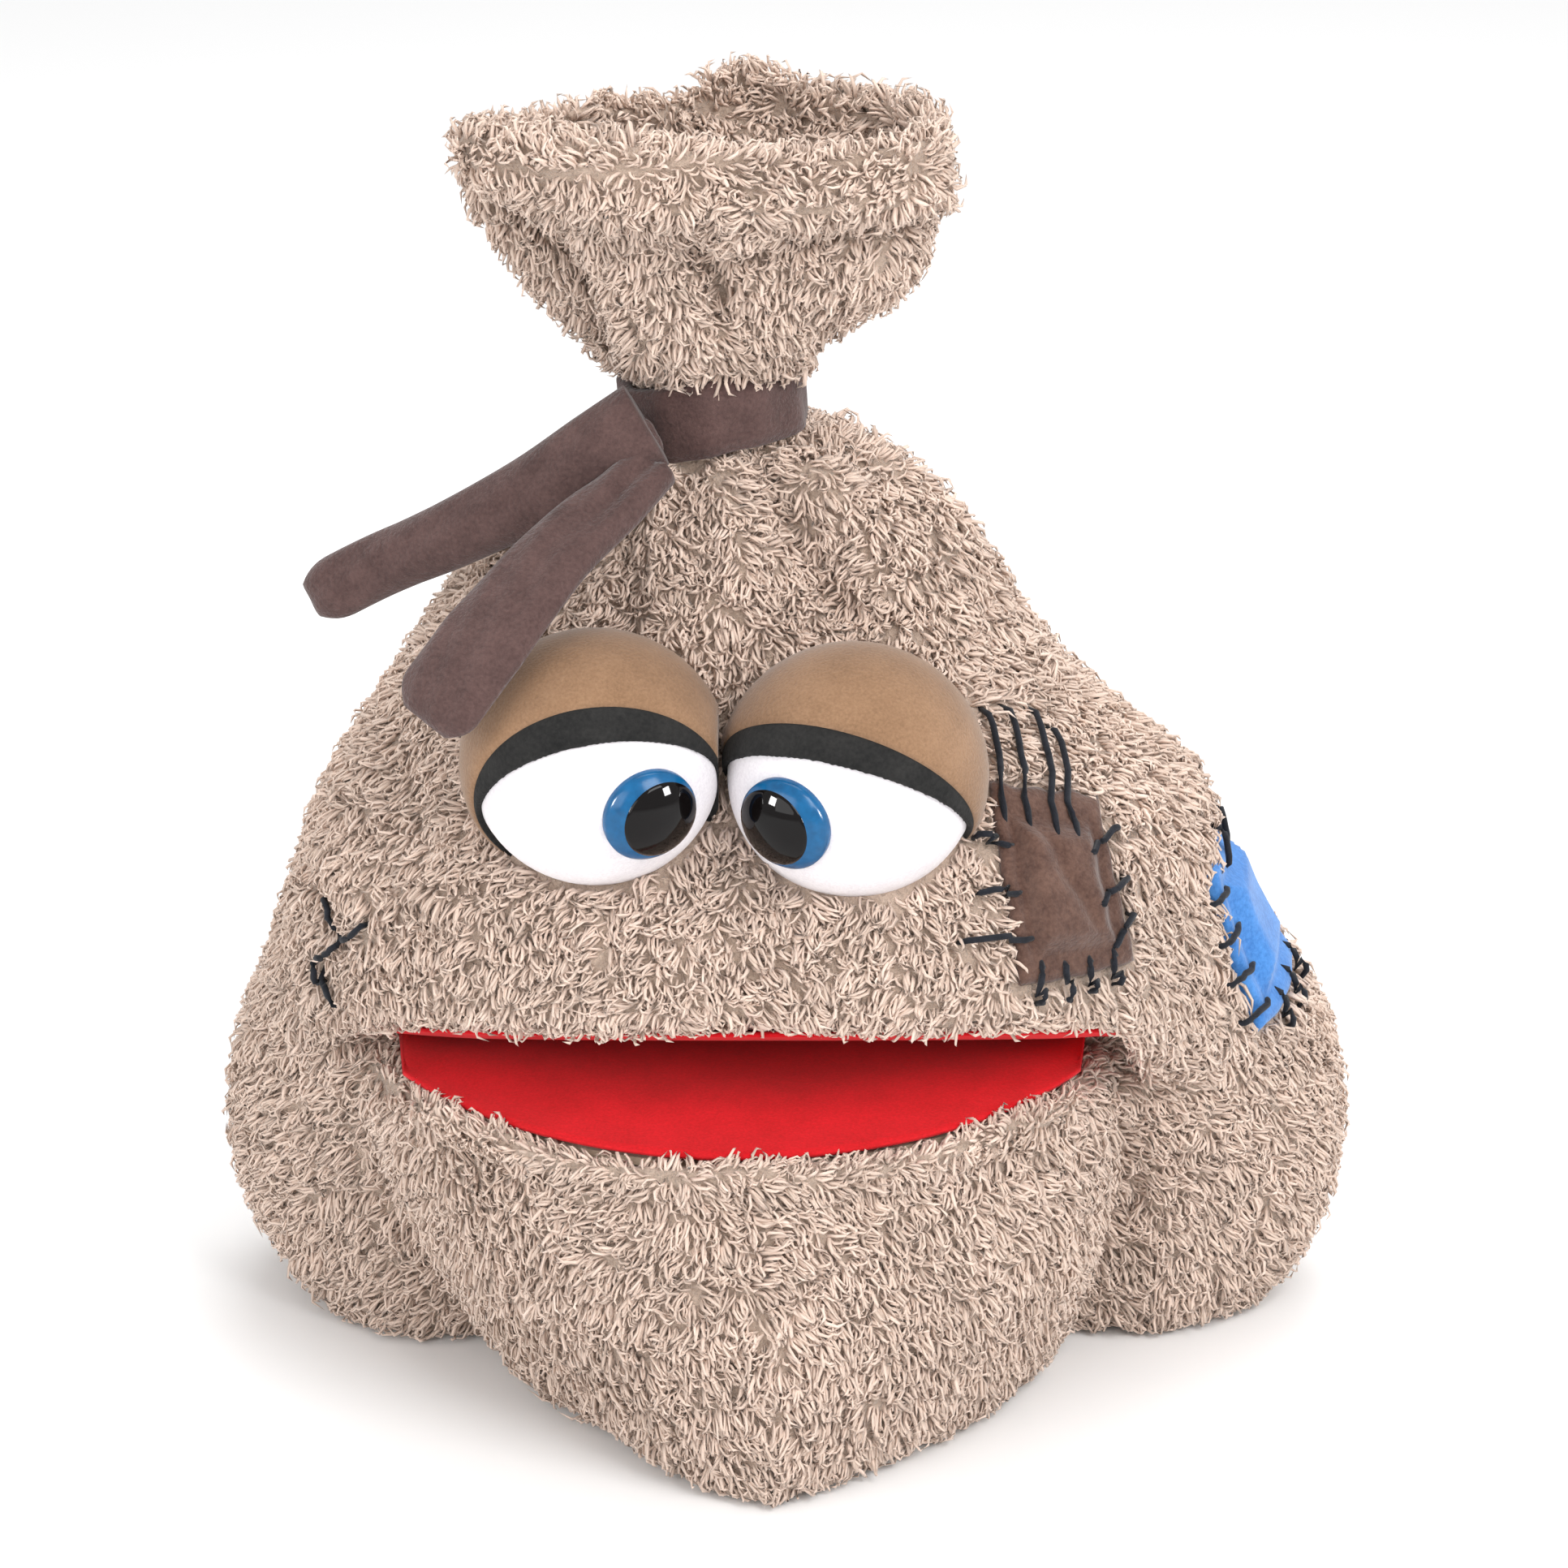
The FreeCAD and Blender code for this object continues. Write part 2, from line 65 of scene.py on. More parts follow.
# Places that come from the CAD model
HINGE = Vector(next(j for j in frame["joints"] if j["name"] == "mouth_fold")["pos_m"])
NECK = Vector(next(j for j in frame["joints"] if j["name"] == "ruff_rock")["pos_m"])
SACK_NODES = ["sack_front", "under_chin_panel", "sack_back", "sack_side_left", "sack_side_right",
              "base_panel", "cheek_filling_left", "cheek_filling_right", "back_filling",
              "muzzle_filling", "upper_lip_filling", "under_mouth_filling", "forehead_filling",
              "neck_gather"]
CARRIED = {"base_panel": "base", "hand_sleeve": "lining", "sleeve_hem": "lining",
           "finger_pocket": "lining", "thumb_pocket": "lining", "upper_mouth_board": "board",
           "lower_mouth_board": "board", "eye_stem_left": "fitting", "eye_stem_right": "fitting",
           "eye_washer_left": "fitting", "eye_washer_right": "fitting"}

# Driving sizes of the soft parts
SKIN_VOXEL = 3.0 * MM
FUR_DENSITY = 720000.0      # locks per square metre
FUR_LENGTH = 7.8 * MM
RUFF_FUR_LENGTH = 6.6 * MM
FUR_RADIUS = 0.55 * MM
FUR_RINGS = 3
LOCKS_PER_PIECE = 12000
LOCKS_PER_CLUMP = 11
FUR_START = 1.0 * MM        # no pile grows below this height
PILE_ROOM = 2.2 * MM        # no pile grows where a surface is nearer than this
THREAD_CLEARING = 1.5 * MM  # pile is trimmed this close to a stitch
THREAD_RISE = 4.6 * MM      # how far stitches stand off the backing, over the pile
THREAD_R = 0.85 * MM
LIP_ROLL = 3.6 * MM         # radius of the lower lip's rolled edge
NECK_X_R = 20 * MM          # half widths of the neck where the tie draws it in
NECK_Y_R = 18 * MM
CUFF_Z = 317.5 * MM         # height of the ruff's turned-down edge
CUFF_RISE = 4.6 * MM
EYE_R = 31 * MM
EYE_DEPTH = 27 * MM
LID_THICK = 2.6 * MM
LID_START = math.radians(4)  # the lid is open this near its axis, at the back of the ball
IRIS_R = 12 * MM
PUPIL_R = 9.9 * MM
EYE_DOME = 16.0 * MM        # radius of the plastic eyes' dome

# View
VIEW_ELEVATION = math.radians(22)
VIEW_TARGET = Vector((0, -0.020, 0.164))
VIEW_DISTANCE = 1.40
VIEW_WIDTH = 0.396          # width seen at the target


# ---------------------------------------------------------------- materials
def shader(name, colour, roughness=0.8, **sockets):
    """A Principled material with plain values; returns (material, nodes, links, shader)."""
    material = bpy.data.materials.new(name)
    material.use_nodes = True
    nodes, links = material.node_tree.nodes, material.node_tree.links
    principled = nodes["Principled BSDF"]
    principled.inputs["Base Color"].default_value = (*colour, 1)
    principled.inputs["Roughness"].default_value = roughness
    for socket, value in sockets.items():
        principled.inputs[socket.replace("_", " ")].default_value = value
    material.diffuse_color = (*colour, 1)
    return material, nodes, links, principled


def coordinates(nodes, links):
    texture = nodes.new("ShaderNodeTexCoord")
    mapping = nodes.new("ShaderNodeMapping")
    links.new(texture.outputs["Object"], mapping.inputs["Vector"])
    return mapping.outputs["Vector"]


def noise_texture(nodes, links, place, scale, detail=4.0, roughness=0.6):
    texture = nodes.new("ShaderNodeTexNoise")
    texture.inputs["Scale"].default_value = scale
    texture.inputs["Detail"].default_value = detail
    texture.inputs["Roughness"].default_value = roughness
    links.new(place, texture.inputs["Vector"])
    return texture.outputs["Fac"]


def ramp(nodes, links, factor, stops):
    band = nodes.new("ShaderNodeValToRGB")
    elements = band.color_ramp.elements
    while len(elements) < len(stops):
        elements.new(0.5)
    for element, (position, colour) in zip(elements, stops):
        element.position = position
        element.color = (*colour, 1)
    links.new(factor, band.inputs["Fac"])
    return band.outputs["Color"]


def bump(nodes, links, principled, height, strength, distance):
    node = nodes.new("ShaderNodeBump")
    node.inputs["Strength"].default_value = strength
    node.inputs["Distance"].default_value = distance
    links.new(height, node.inputs["Height"])
    links.new(node.outputs["Normal"], principled.inputs["Normal"])


def cloth_material(name, dark, light, grain=900.0, blotch=40.0, strength=0.5, distance=0.0004,
                   sheen=0.3, roughness=0.9):
    """Short-pile cloth: blotchy brushed colour over a fine grain that also makes the bump."""
    middle = [(a + b) / 2 for a, b in zip(dark, light)]
    material, nodes, links, principled = shader(name, middle, roughness, Sheen_Weight=sheen,
                                                Sheen_Roughness=0.5, Specular_IOR_Level=0.2)
    place = coordinates(nodes, links)
    fine = noise_texture(nodes, links, place, grain, 3.0)
    broad = noise_texture(nodes, links, place, blotch, 4.0)
    blend = nodes.new("ShaderNodeMath")
    blend.operation = "ADD"
    for slot, output in enumerate((fine, broad)):
        half = nodes.new("ShaderNodeMath")
        half.operation = "MULTIPLY"
        half.inputs[1].default_value = 0.5
        links.new(output, half.inputs[0])
        links.new(half.outputs[0], blend.inputs[slot])
    colour = ramp(nodes, links, blend.outputs[0], [(0.36, dark), (0.64, light)])
    links.new(colour, principled.inputs["Base Color"])
    bump(nodes, links, principled, fine, strength, distance)
    return material


def iris_material():
    """Blue plastic with a faint grain."""
    material, nodes, links, principled = shader("iris_blue", (0.004, 0.11, 0.29), 0.2,
                                                Specular_IOR_Level=0.35)
    place = coordinates(nodes, links)
    grain = noise_texture(nodes, links, place, 260.0, 3.0)
    colour = ramp(nodes, links, grain, [(0.3, (0.002, 0.072, 0.19)), (0.7, (0.004, 0.112, 0.28))])
    links.new(colour, principled.inputs["Base Color"])
    return material


def pupil_material():
    """Near-black glossy plastic with a faint moulding unevenness."""
    material, nodes, links, principled = shader("pupil_dark", (0.004, 0.003, 0.003), 0.05,
                                                Specular_IOR_Level=0.20)
    grain = noise_texture(nodes, links, coordinates(nodes, links), 180.0, 2.0)
    bump(nodes, links, principled, grain, 0.03, 0.0002)
    return material


FUR_SHADES = [
    (0.580, 0.452, 0.375), (0.640, 0.501, 0.416), (0.700, 0.548, 0.457),
    (0.750, 0.590, 0.494), (0.795, 0.629, 0.530), (0.840, 0.674, 0.575),
]


def fur_materials():
    """Plain dyed fibre in six shades; each lock takes one, so the pile is mottled."""
    shades = []
    for index, colour in enumerate(FUR_SHADES):
        material, nodes, links, principled = shader("pile_%d" % index, colour, 0.85,
                                                    Sheen_Weight=0.2, Sheen_Roughness=0.4,
                                                    Specular_IOR_Level=0.12)
        twist = noise_texture(nodes, links, coordinates(nodes, links), 2600.0, 2.0)
        bump(nodes, links, principled, twist, 0.35, 0.0003)
        shades.append(material)
    return shades


def all_materials():
    """Every look by a short name; fur is a list of shades."""
    return {
        "plush": cloth_material("plush_backing", (0.36, 0.265, 0.205), (0.56, 0.43, 0.345),
                                700.0, 60.0, 1.0, 0.002),
        "base": cloth_material("base_cloth", (0.24, 0.18, 0.13), (0.34, 0.26, 0.19), 1500.0, 20.0),
        "lining": cloth_material("lining_cloth", (0.17, 0.12, 0.09), (0.26, 0.19, 0.14),
                                 1200.0, 25.0, 0.4, 0.0002),
        "red": cloth_material("red_velour", (0.50, 0.003, 0.006), (0.70, 0.006, 0.014),
                              1300.0, 55.0, 0.35, 0.0003, sheen=0.05),
        "white": cloth_material("white_velour", (0.74, 0.70, 0.73), (0.90, 0.87, 0.89),
                                1300.0, 45.0, 0.35, 0.0003, sheen=0.25),
        "tan": cloth_material("tan_velour", (0.20, 0.108, 0.054), (0.31, 0.178, 0.098),
                              1300.0, 50.0, 0.6),
        "black": cloth_material("black_felt", (0.006, 0.006, 0.006), (0.022, 0.021, 0.020),
                                900.0, 80.0, 0.6, 0.0004, sheen=0.05),
        "felt": cloth_material("brown_felt", (0.058, 0.029, 0.026), (0.112, 0.062, 0.056),
                               1000.0, 130.0, 0.9, 0.0006, sheen=0.25),
        "brown": cloth_material("brown_patch", (0.062, 0.028, 0.020), (0.135, 0.072, 0.052),
                                900.0, 140.0, 0.8, 0.0005),
        "blue": cloth_material("blue_patch", (0.030, 0.155, 0.46), (0.075, 0.27, 0.66),
                               900.0, 90.0),
        "thread": cloth_material("black_thread", (0.004, 0.005, 0.008), (0.016, 0.018, 0.026),
                                 2500.0, 300.0, 0.5, 0.0002, sheen=0.1),
        "iris": iris_material(),
        "pupil": pupil_material(),
        "fitting": cloth_material("eye_fitting", (0.015, 0.015, 0.016), (0.03, 0.03, 0.032),
                                  400.0, 50.0, 0.1, 0.0001, sheen=0.0, roughness=0.5),
        "board": cloth_material("stiffener_board", (0.42, 0.33, 0.24), (0.55, 0.45, 0.34), 900.0),
        "fur": fur_materials(),
    }


# ---------------------------------------------------------------- mesh helpers
def add_object(name, mesh, *materials, smooth=True):
    piece = bpy.data.objects.new(name, mesh)
    bpy.context.scene.collection.objects.link(piece)
    for material in materials:
        mesh.materials.append(material)
    if smooth:
        mesh.polygons.foreach_set("use_smooth", [True] * len(mesh.polygons))
    return piece


def dress(piece, body, slot, *nodes):
    """Hangs a piece on the body it rides on and hides the CAD nodes it stands for; slot is not used."""
    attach(piece, body)
    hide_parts(*nodes)


def array_mesh(name, points, triangles):
    """A mesh from numpy arrays of points and triangles."""
    mesh = bpy.data.meshes.new(name)
    mesh.vertices.add(len(points))
    mesh.vertices.foreach_set("co", np.asarray(points, np.float32).ravel())
    mesh.loops.add(triangles.size)
    mesh.loops.foreach_set("vertex_index", np.asarray(triangles, np.int32).ravel())
    mesh.polygons.add(len(triangles))
    mesh.polygons.foreach_set("loop_start", np.arange(0, triangles.size, 3, dtype=np.int32))
    mesh.update(calc_edges=True)
    mesh.validate()
    return mesh


def finish_mesh(name, builder, outward=True):
    """A mesh from a builder, which is then done with."""
    if outward:
        bmesh.ops.recalc_face_normals(builder, faces=builder.faces)
    mesh = bpy.data.meshes.new(name)
    builder.to_mesh(mesh)
    builder.free()
    return mesh


def add_grid(builder, rows, closed_rows=False, closed_columns=True, cap_ends=False):
    """Adds quads between equally long rows of points."""
    made = [[builder.verts.new(point) for point in row] for row in rows]
    count = len(made[0])
    row_steps = len(made) if closed_rows else len(made) - 1
    column_steps = count if closed_columns else count - 1
    for r in range(row_steps):
        for c in range(column_steps):
            below, above = made[r], made[(r + 1) % len(made)]
            builder.faces.new((below[c], below[(c + 1) % count],
                               above[(c + 1) % count], above[c]))
    if cap_ends:
        builder.faces.new(list(reversed(made[0])))
        builder.faces.new(made[-1])


def grid_mesh(name, rows, **shape):
    """A quad mesh from one grid of points; shape is as for add_grid."""
    builder = bmesh.new()
    add_grid(builder, rows, **shape)
    return finish_mesh(name, builder)


def evaluated(piece):
    """The piece's mesh with its modifiers applied; the piece itself is removed."""
    graph = bpy.context.evaluated_depsgraph_get()
    mesh = bpy.data.meshes.new_from_object(piece.evaluated_get(graph), depsgraph=graph)
    bpy.data.objects.remove(piece)
    mesh.materials.clear()
    return mesh


def points_of(mesh):
    flat = np.empty(len(mesh.vertices) * 3, np.float32)
    mesh.vertices.foreach_get("co", flat)
    return flat.reshape(-1, 3).astype(float)


def normals_of(mesh):
    flat = np.empty(len(mesh.vertices) * 3, np.float32)
    mesh.vertex_normals.foreach_get("vector", flat)
    return flat.reshape(-1, 3).astype(float)


def set_points(mesh, points):
    mesh.vertices.foreach_set("co", np.asarray(points, np.float32).ravel())
    mesh.update()


def soft_skin(name, meshes, smooth):
    """One closed soft skin round several meshes: joined, remeshed evenly and smoothed."""
    builder = bmesh.new()
    for part in meshes:
        builder.from_mesh(part)
    rough = bpy.data.objects.new(name + "_rough", finish_mesh(name, builder, outward=False))
    bpy.context.scene.collection.objects.link(rough)
    remesh = rough.modifiers.new("even", "REMESH")
    remesh.mode = "VOXEL"
    remesh.voxel_size = SKIN_VOXEL
    soften = rough.modifiers.new("soften", "SMOOTH")
    soften.iterations = smooth
    return evaluated(rough)


def beside(points, path):
    """Each point's gap from a path given as (x, z) in mm, and how far it is to the path's left."""
    line = np.array(path, float) * MM
    best = np.full(len(points), 1e9)
    left = np.zeros(len(points))
    flat = points[:, [0, 2]]
    for start, end in zip(line[:-1], line[1:]):
        along = end - start
        share = np.clip(((flat - start) @ along) / (along @ along), 0, 1)
        away = flat - start - share[:, None] * along
        gap = np.linalg.norm(away, axis=1)
        side = (along[0] * away[:, 1] - along[1] * away[:, 0]) / np.linalg.norm(along)
        nearer = gap < best
        best[nearer] = gap[nearer]
        left[nearer] = side[nearer]
    return best, left


def groove(points, normals, path, width, depth):
    """Pushes points in along a crease seen from the front."""
    gap, _ = beside(points, path)
    front = np.clip(-normals[:, 1] * 2.5, 0, 1)
    push = depth * MM * np.exp(-(gap / (width * MM)) ** 2) * front
    return points - normals * push[:, None]


def tuck(points, path, width, depth):
    """Sets the cloth back on the left of a path only, so the right side overlaps it."""
    gap, left = beside(points, path)
    sharp = 1 / (1 + np.exp(-np.clip(left / (0.8 * MM), -30, 30)))
    push = depth * MM * sharp * np.exp(-gap / (width * MM)) * (points[:, 1] < 4 * MM)
    return points + np.array([[0.0, 1.0, 0.0]]) * push[:, None]


def swell(points, normals, centre, radius, height):
    """Raises a soft bump round a place given in mm."""
    gap = np.linalg.norm(points - np.array(centre) * MM, axis=1)
    push = height * MM * np.exp(-(gap / (radius * MM)) ** 2)
    return points + normals * push[:, None]


def waves(points, scale, seed):
    """Smooth seeded noise between about -1 and 1, as a sum of sine waves."""
    local = np.random.default_rng(seed)
    total = np.zeros(len(points))
    for _ in range(7):
        direction = local.normal(size=3)
        direction *= (0.6 + local.random()) / (np.linalg.norm(direction) * scale)
        total += np.sin(points @ direction * 2 * math.pi + local.random() * 6.28)
    return total / 3.0


# ---------------------------------------------------------------- fur
def unit(vectors):
    return vectors / np.maximum(np.linalg.norm(vectors, axis=1, keepdims=True), 1e-9)


def scatter(mesh, density, local):
    """Random roots over a mesh: places and smooth normals."""
    mesh.calc_loop_triangles()
    corners = np.empty(len(mesh.loop_triangles) * 3, np.int32)
    mesh.loop_triangles.foreach_get("vertices", corners)
    corners = corners.reshape(-1, 3)
    points, normals = points_of(mesh), normals_of(mesh)
    a, b, c = (points[corners[:, i]] for i in range(3))
    areas = np.linalg.norm(np.cross(b - a, c - a), axis=1) / 2
    count = int(areas.sum() * density)
    picked = local.choice(len(areas), count, p=areas / areas.sum())
    share = local.random((count, 2))
    fold = share.sum(axis=1) > 1
    share[fold] = 1 - share[fold]
    weights = np.column_stack([1 - share.sum(axis=1), share])
    where = np.einsum("ij,ijk->ik", weights, points[corners[picked]])
    facing = np.einsum("ij,ijk->ik", weights, normals[corners[picked]])
    return where, unit(facing)


def exposed(where, facing, blockers, reach):
    """True where nothing stands within reach in front of a root."""
    free = np.ones(len(where), bool)
    for index, (place, normal) in enumerate(zip(where, facing)):
        start = Vector(place + normal * 0.8 * MM)
        if blockers.ray_cast(start, Vector(normal), reach)[0] is not None:
            free[index] = False
    return free


def lay_of_pile(where, facing, fall, seed):
    """Which way each lock lies: mostly down, in broad swirls."""
    swirl = np.column_stack([waves(where, 0.055, seed + k) for k in range(3)])
    fine = np.column_stack([waves(where, 0.014, seed + 7 + k) for k in range(3)])
    lie = fall(where, facing) + swirl * 0.6 + fine * 0.35
    lie -= facing * np.sum(lie * facing, axis=1, keepdims=True)
    return unit(lie)


def make_locks(name, where, facing, lie, shades, local, length, lift):
    """Curved tapering locks of pile as closed meshes, in pieces of limited size."""
    count = len(where)
    side = np.cross(facing, lie)
    # Neighbours lean together, which makes the pile clump
    clumps = max(count // LOCKS_PER_CLUMP, 1)
    tree = KDTree(clumps)
    centres = local.choice(count, clumps, replace=False)
    for slot, index in enumerate(centres):
        tree.insert(where[index], slot)
    tree.balance()
    nearest = np.array([tree.find(place)[1] for place in where])
    clump = where[centres[nearest]]
    gather = clump - where
    gather -= facing * np.sum(gather * facing, axis=1, keepdims=True)
    clump_turn = local.normal(0, 0.42, clumps)[nearest]
    turn = clump_turn + local.normal(0, 0.22, count)
    lean = unit(lie * np.cos(turn)[:, None] + side * np.sin(turn)[:, None])
    across = np.cross(facing, lean)

    size = length * local.uniform(0.65, 1.25, count)
    rise = lift * local.uniform(0.5, 1.4, count)
    curl = local.normal(0, 0.16, count)
    hook = local.uniform(0.0, 0.35, count)
    radius = FUR_RADIUS * local.uniform(0.75, 1.3, count)
    spin = local.uniform(0, 2 * math.pi, count)

    rings = []
    for ring in range(FUR_RINGS + 1):
        s = ring / FUR_RINGS
        up = rise * math.sin(s * 2.0) - hook * s * s * 0.6
        out = s * (1.0 - 0.25 * s)
        middle = (where - facing * 0.7 * MM
                  + facing * (size * up)[:, None]
                  + lean * (size * out * 0.85)[:, None]
                  + across * (size * curl * math.sin(s * 3.6))[:, None]
                  + gather * (0.75 * s * s))
        middle[:, 2] = np.maximum(middle[:, 2], 1.2 * radius + (0.3 + ring * 0.1) * MM)
        rings.append(middle)
    points = []
    for ring in range(FUR_RINGS):
        s = ring / FUR_RINGS
        thick = radius * (0.75 + 0.9 * s - 1.35 * s * s)
        ahead = unit(rings[ring + 1] - rings[ring])
        flat = unit(np.cross(ahead, facing))
        high = np.cross(flat, ahead)
        for corner in range(3):
            angle = spin + corner * 2 * math.pi / 3
            points.append(rings[ring] + flat * (thick * np.cos(angle))[:, None]
                          + high * (thick * np.sin(angle))[:, None])
    points.append(rings[FUR_RINGS])
    points = np.stack(points, axis=1)

    faces = [(0, 2, 1)]
    for ring in range(FUR_RINGS - 1):
        for corner in range(3):
            a, b = ring * 3 + corner, ring * 3 + (corner + 1) % 3
            faces += [(a, b, b + 3), (a, b + 3, a + 3)]
    last, tip = (FUR_RINGS - 1) * 3, FUR_RINGS * 3
    faces += [(last + corner, last + (corner + 1) % 3, tip) for corner in range(3)]
    faces = np.array(faces)

    tone = 2.7 + waves(where, 0.05, 91) * 0.5 + waves(where, 0.012, 92) * 0.45
    tone = tone + local.normal(0, 0.55, clumps)[nearest] + local.normal(0, 0.7, count)
    tone = np.clip(np.round(tone), 0, len(shades) - 1).astype(int)

    pieces = []
    order = np.argsort(where[:, 2], kind="stable")
    per_lock = points.shape[1]
    for part, start in enumerate(range(0, count, LOCKS_PER_PIECE)):
        chosen = order[start:start + LOCKS_PER_PIECE]
        lock_points = points[chosen].reshape(-1, 3)
        offsets = np.arange(len(chosen)) * per_lock
        triangles = (faces[None, :, :] + offsets[:, None, None]).reshape(-1, 3)
        mesh = array_mesh("%s_%d" % (name, part), lock_points, triangles)
        piece = add_object("%s_%d" % (name, part), mesh, *shades)
        mesh.polygons.foreach_set("material_index", np.repeat(tone[chosen], len(faces)))
        pieces.append(piece)
    return pieces


# ---------------------------------------------------------------- stage and view
def make_stage():
    """Camera at the usual viewing angle, a pale floor and soft studio light."""
    scene = bpy.context.scene
    camera = bpy.data.objects.new("camera", bpy.data.cameras.new("camera"))
    scene.collection.objects.link(camera)
    away = Vector((0, -math.cos(VIEW_ELEVATION), math.sin(VIEW_ELEVATION)))
    camera.location = VIEW_TARGET + away * VIEW_DISTANCE
    camera.rotation_euler = (-away).to_track_quat("-Z", "Y").to_euler()
    camera.data.sensor_width = 36.0
    camera.data.lens = 36.0 * VIEW_DISTANCE / VIEW_WIDTH
    camera.data.clip_end = 20.0
    scene.camera = camera

    floor_builder = bmesh.new()
    bmesh.ops.create_grid(floor_builder, x_segments=1, y_segments=1, size=4.0)
    floor = add_object("floor", finish_mesh("floor", floor_builder, outward=False),
                       shader("floor_white", (0.92, 0.92, 0.92), 0.9)[0])
    floor.location.z = -0.0005

    world = bpy.data.worlds.new("studio")
    scene.world = world
    world.use_nodes = True
    world.node_tree.nodes["Background"].inputs["Color"].default_value = (1, 1, 1, 1)
    world.node_tree.nodes["Background"].inputs["Strength"].default_value = 0.80
    lamps = {
        "key": ((0.8, -1.0, 1.3), 0.9, 18.0),
        "fill": ((-0.9, -1.2, 0.7), 0.9, 7.0),
        "top": ((0.1, 0.5, 1.5), 1.0, 9.0),
        "glint_right": ((1.20, -0.68, 0.56), 0.30, 22.0),
        "glint_left": ((-1.20, -0.68, 0.56), 0.30, 22.0),
    }
    for name, (place, size, power) in lamps.items():
        light = bpy.data.lights.new(name, "AREA")
        light.size = size
        light.energy = power
        lamp = bpy.data.objects.new(name, light)
        scene.collection.objects.link(lamp)
        lamp.location = place
        # The glints are windows mirrored in the plastic eyes: they shine but don't light
        lamp.visible_diffuse = not name.startswith("glint")
        aim = Vector((0, 0, 0.15)) - Vector(place)
        lamp.rotation_euler = aim.to_track_quat("-Z", "Y").to_euler()
    scene.view_settings.view_transform = "Standard"


# ---------------------------------------------------------------- skins
def sack_skin(materials):
    mesh = soft_skin("sack_skin", [frame["nodes"][node].data for node in SACK_NODES], 8)
    points, normals = points_of(mesh), normals_of(mesh)
    outside = np.linalg.norm(points[:, :2] - np.array(NECK[:2]), axis=1) > 5 * MM
    uneven = normals * (waves(points, 0.085, 3) * 1.8 * MM)[:, None]
    points = np.where(outside[:, None], points + uneven, points)
    # Gathers that run down from the tied neck
    angle = np.arctan2(points[:, 1] - NECK.y, points[:, 0] - NECK.x)
    fade = np.clip((points[:, 2] - 0.196) / 0.045, 0, 1)
    pleat = np.cos(angle * 9 + 1.5 * np.sin(angle * 2)) * fade * 2.6 * MM
    points = points + normals * pleat[:, None]
    creases = [
        ([(-13, 250), (-5, 238), (5, 226), (15, 212)], 5.0, 6.0),
        ([(-120, 138), (-113, 127), (-117, 112)], 4.5, 4.0),
        ([(94, 80), (90, 62), (89, 40)], 7.0, 4.0),
        ([(34, 215), (52, 196), (72, 176)], 9.0, 3.0),
        ([(106, 108), (98, 122), (96, 138)], 7.0, 3.0),
        ([(-92, 168), (-100, 150), (-98, 132)], 9.0, 3.0),
    ]
    for path, width, depth in creases:
        points = groove(points, normals, path, width, depth)
    points = tuck(points, [(-35, 208), (-36, 236), (-37, 254)], 11.0, 8.0)
    # The tie draws the neck in
    across = (points[:, 0] - NECK.x) / NECK_X_R
    along = (points[:, 1] - NECK.y) / NECK_Y_R
    tight = np.clip((points[:, 2] - (NECK.z - 14 * MM)) / (6 * MM), 0, 1)
    excess = np.maximum(np.hypot(across, along), 1.0)
    shrink = 1 + (1 / excess - 1) * tight
    points[:, 0] = NECK.x + (points[:, 0] - NECK.x) * shrink
    points[:, 1] = NECK.y + (points[:, 1] - NECK.y) * shrink
    points = swell(points, normals, (98, 5, 152), 20, 6.0)
    points = swell(points, normals, (-135, 20, 55), 38, 5.0)
    points = swell(points, normals, (135, 20, 60), 38, 4.0)
    # The lobes' feet spread forward on the floor
    outward = np.clip((np.abs(points[:, 0]) / MM - 60) / 40, 0, 1)
    low = np.clip(1 - points[:, 2] / MM / 80, 0, 1)
    points[:, 1] -= 14 * MM * outward * low * (points[:, 1] < 0.03)
    set_points(mesh, points)
    skin = add_object("sack_skin", mesh, materials["plush"])
    dress(skin, "sack", "beige_plush", *[node for node in SACK_NODES if node != "base_panel"])
    return skin


# The chin lobe at each height in mm: (height, left, right, front, squareness)
CHIN = [(0.5, -70, 66, -94, 1.3), (4, -77, 73, -97, 1.4), (14, -84, 78, -97, 1.5),
        (40, -97, 85, -96, 1.7), (66, -109, 90, -91, 1.7), (82, -113, 91, -88, 1.65),
        (89, -111, 89, -85, 1.6)]
LOWER_LIP_TILT = math.radians(-5)
UPPER_LIP_TILT = math.radians(22)


def lip_roll():
    """The plush rolled over the lower lip's edge, round the mouth board's rim."""
    low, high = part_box("lower_palate")
    ahead, up = lip_axes(LOWER_LIP_TILT)
    rows = []
    steps = 60
    for step in range(steps + 1):
        x = low[0] + 2 * MM + (high[0] - low[0] - 4 * MM) * step / steps
        reach = lip_reach("lower_palate", LOWER_LIP_TILT, x, -1 * MM) + 1.5 * MM
        centre = Vector((x, HINGE.y, HINGE.z)) + ahead * reach - up * LIP_ROLL
        rows.append([centre + (ahead * math.cos(turn) + up * math.sin(turn)) * LIP_ROLL
                     for turn in (2 * math.pi * k / 16 for k in range(16))])
    return grid_mesh("lip_roll", rows, cap_ends=True)


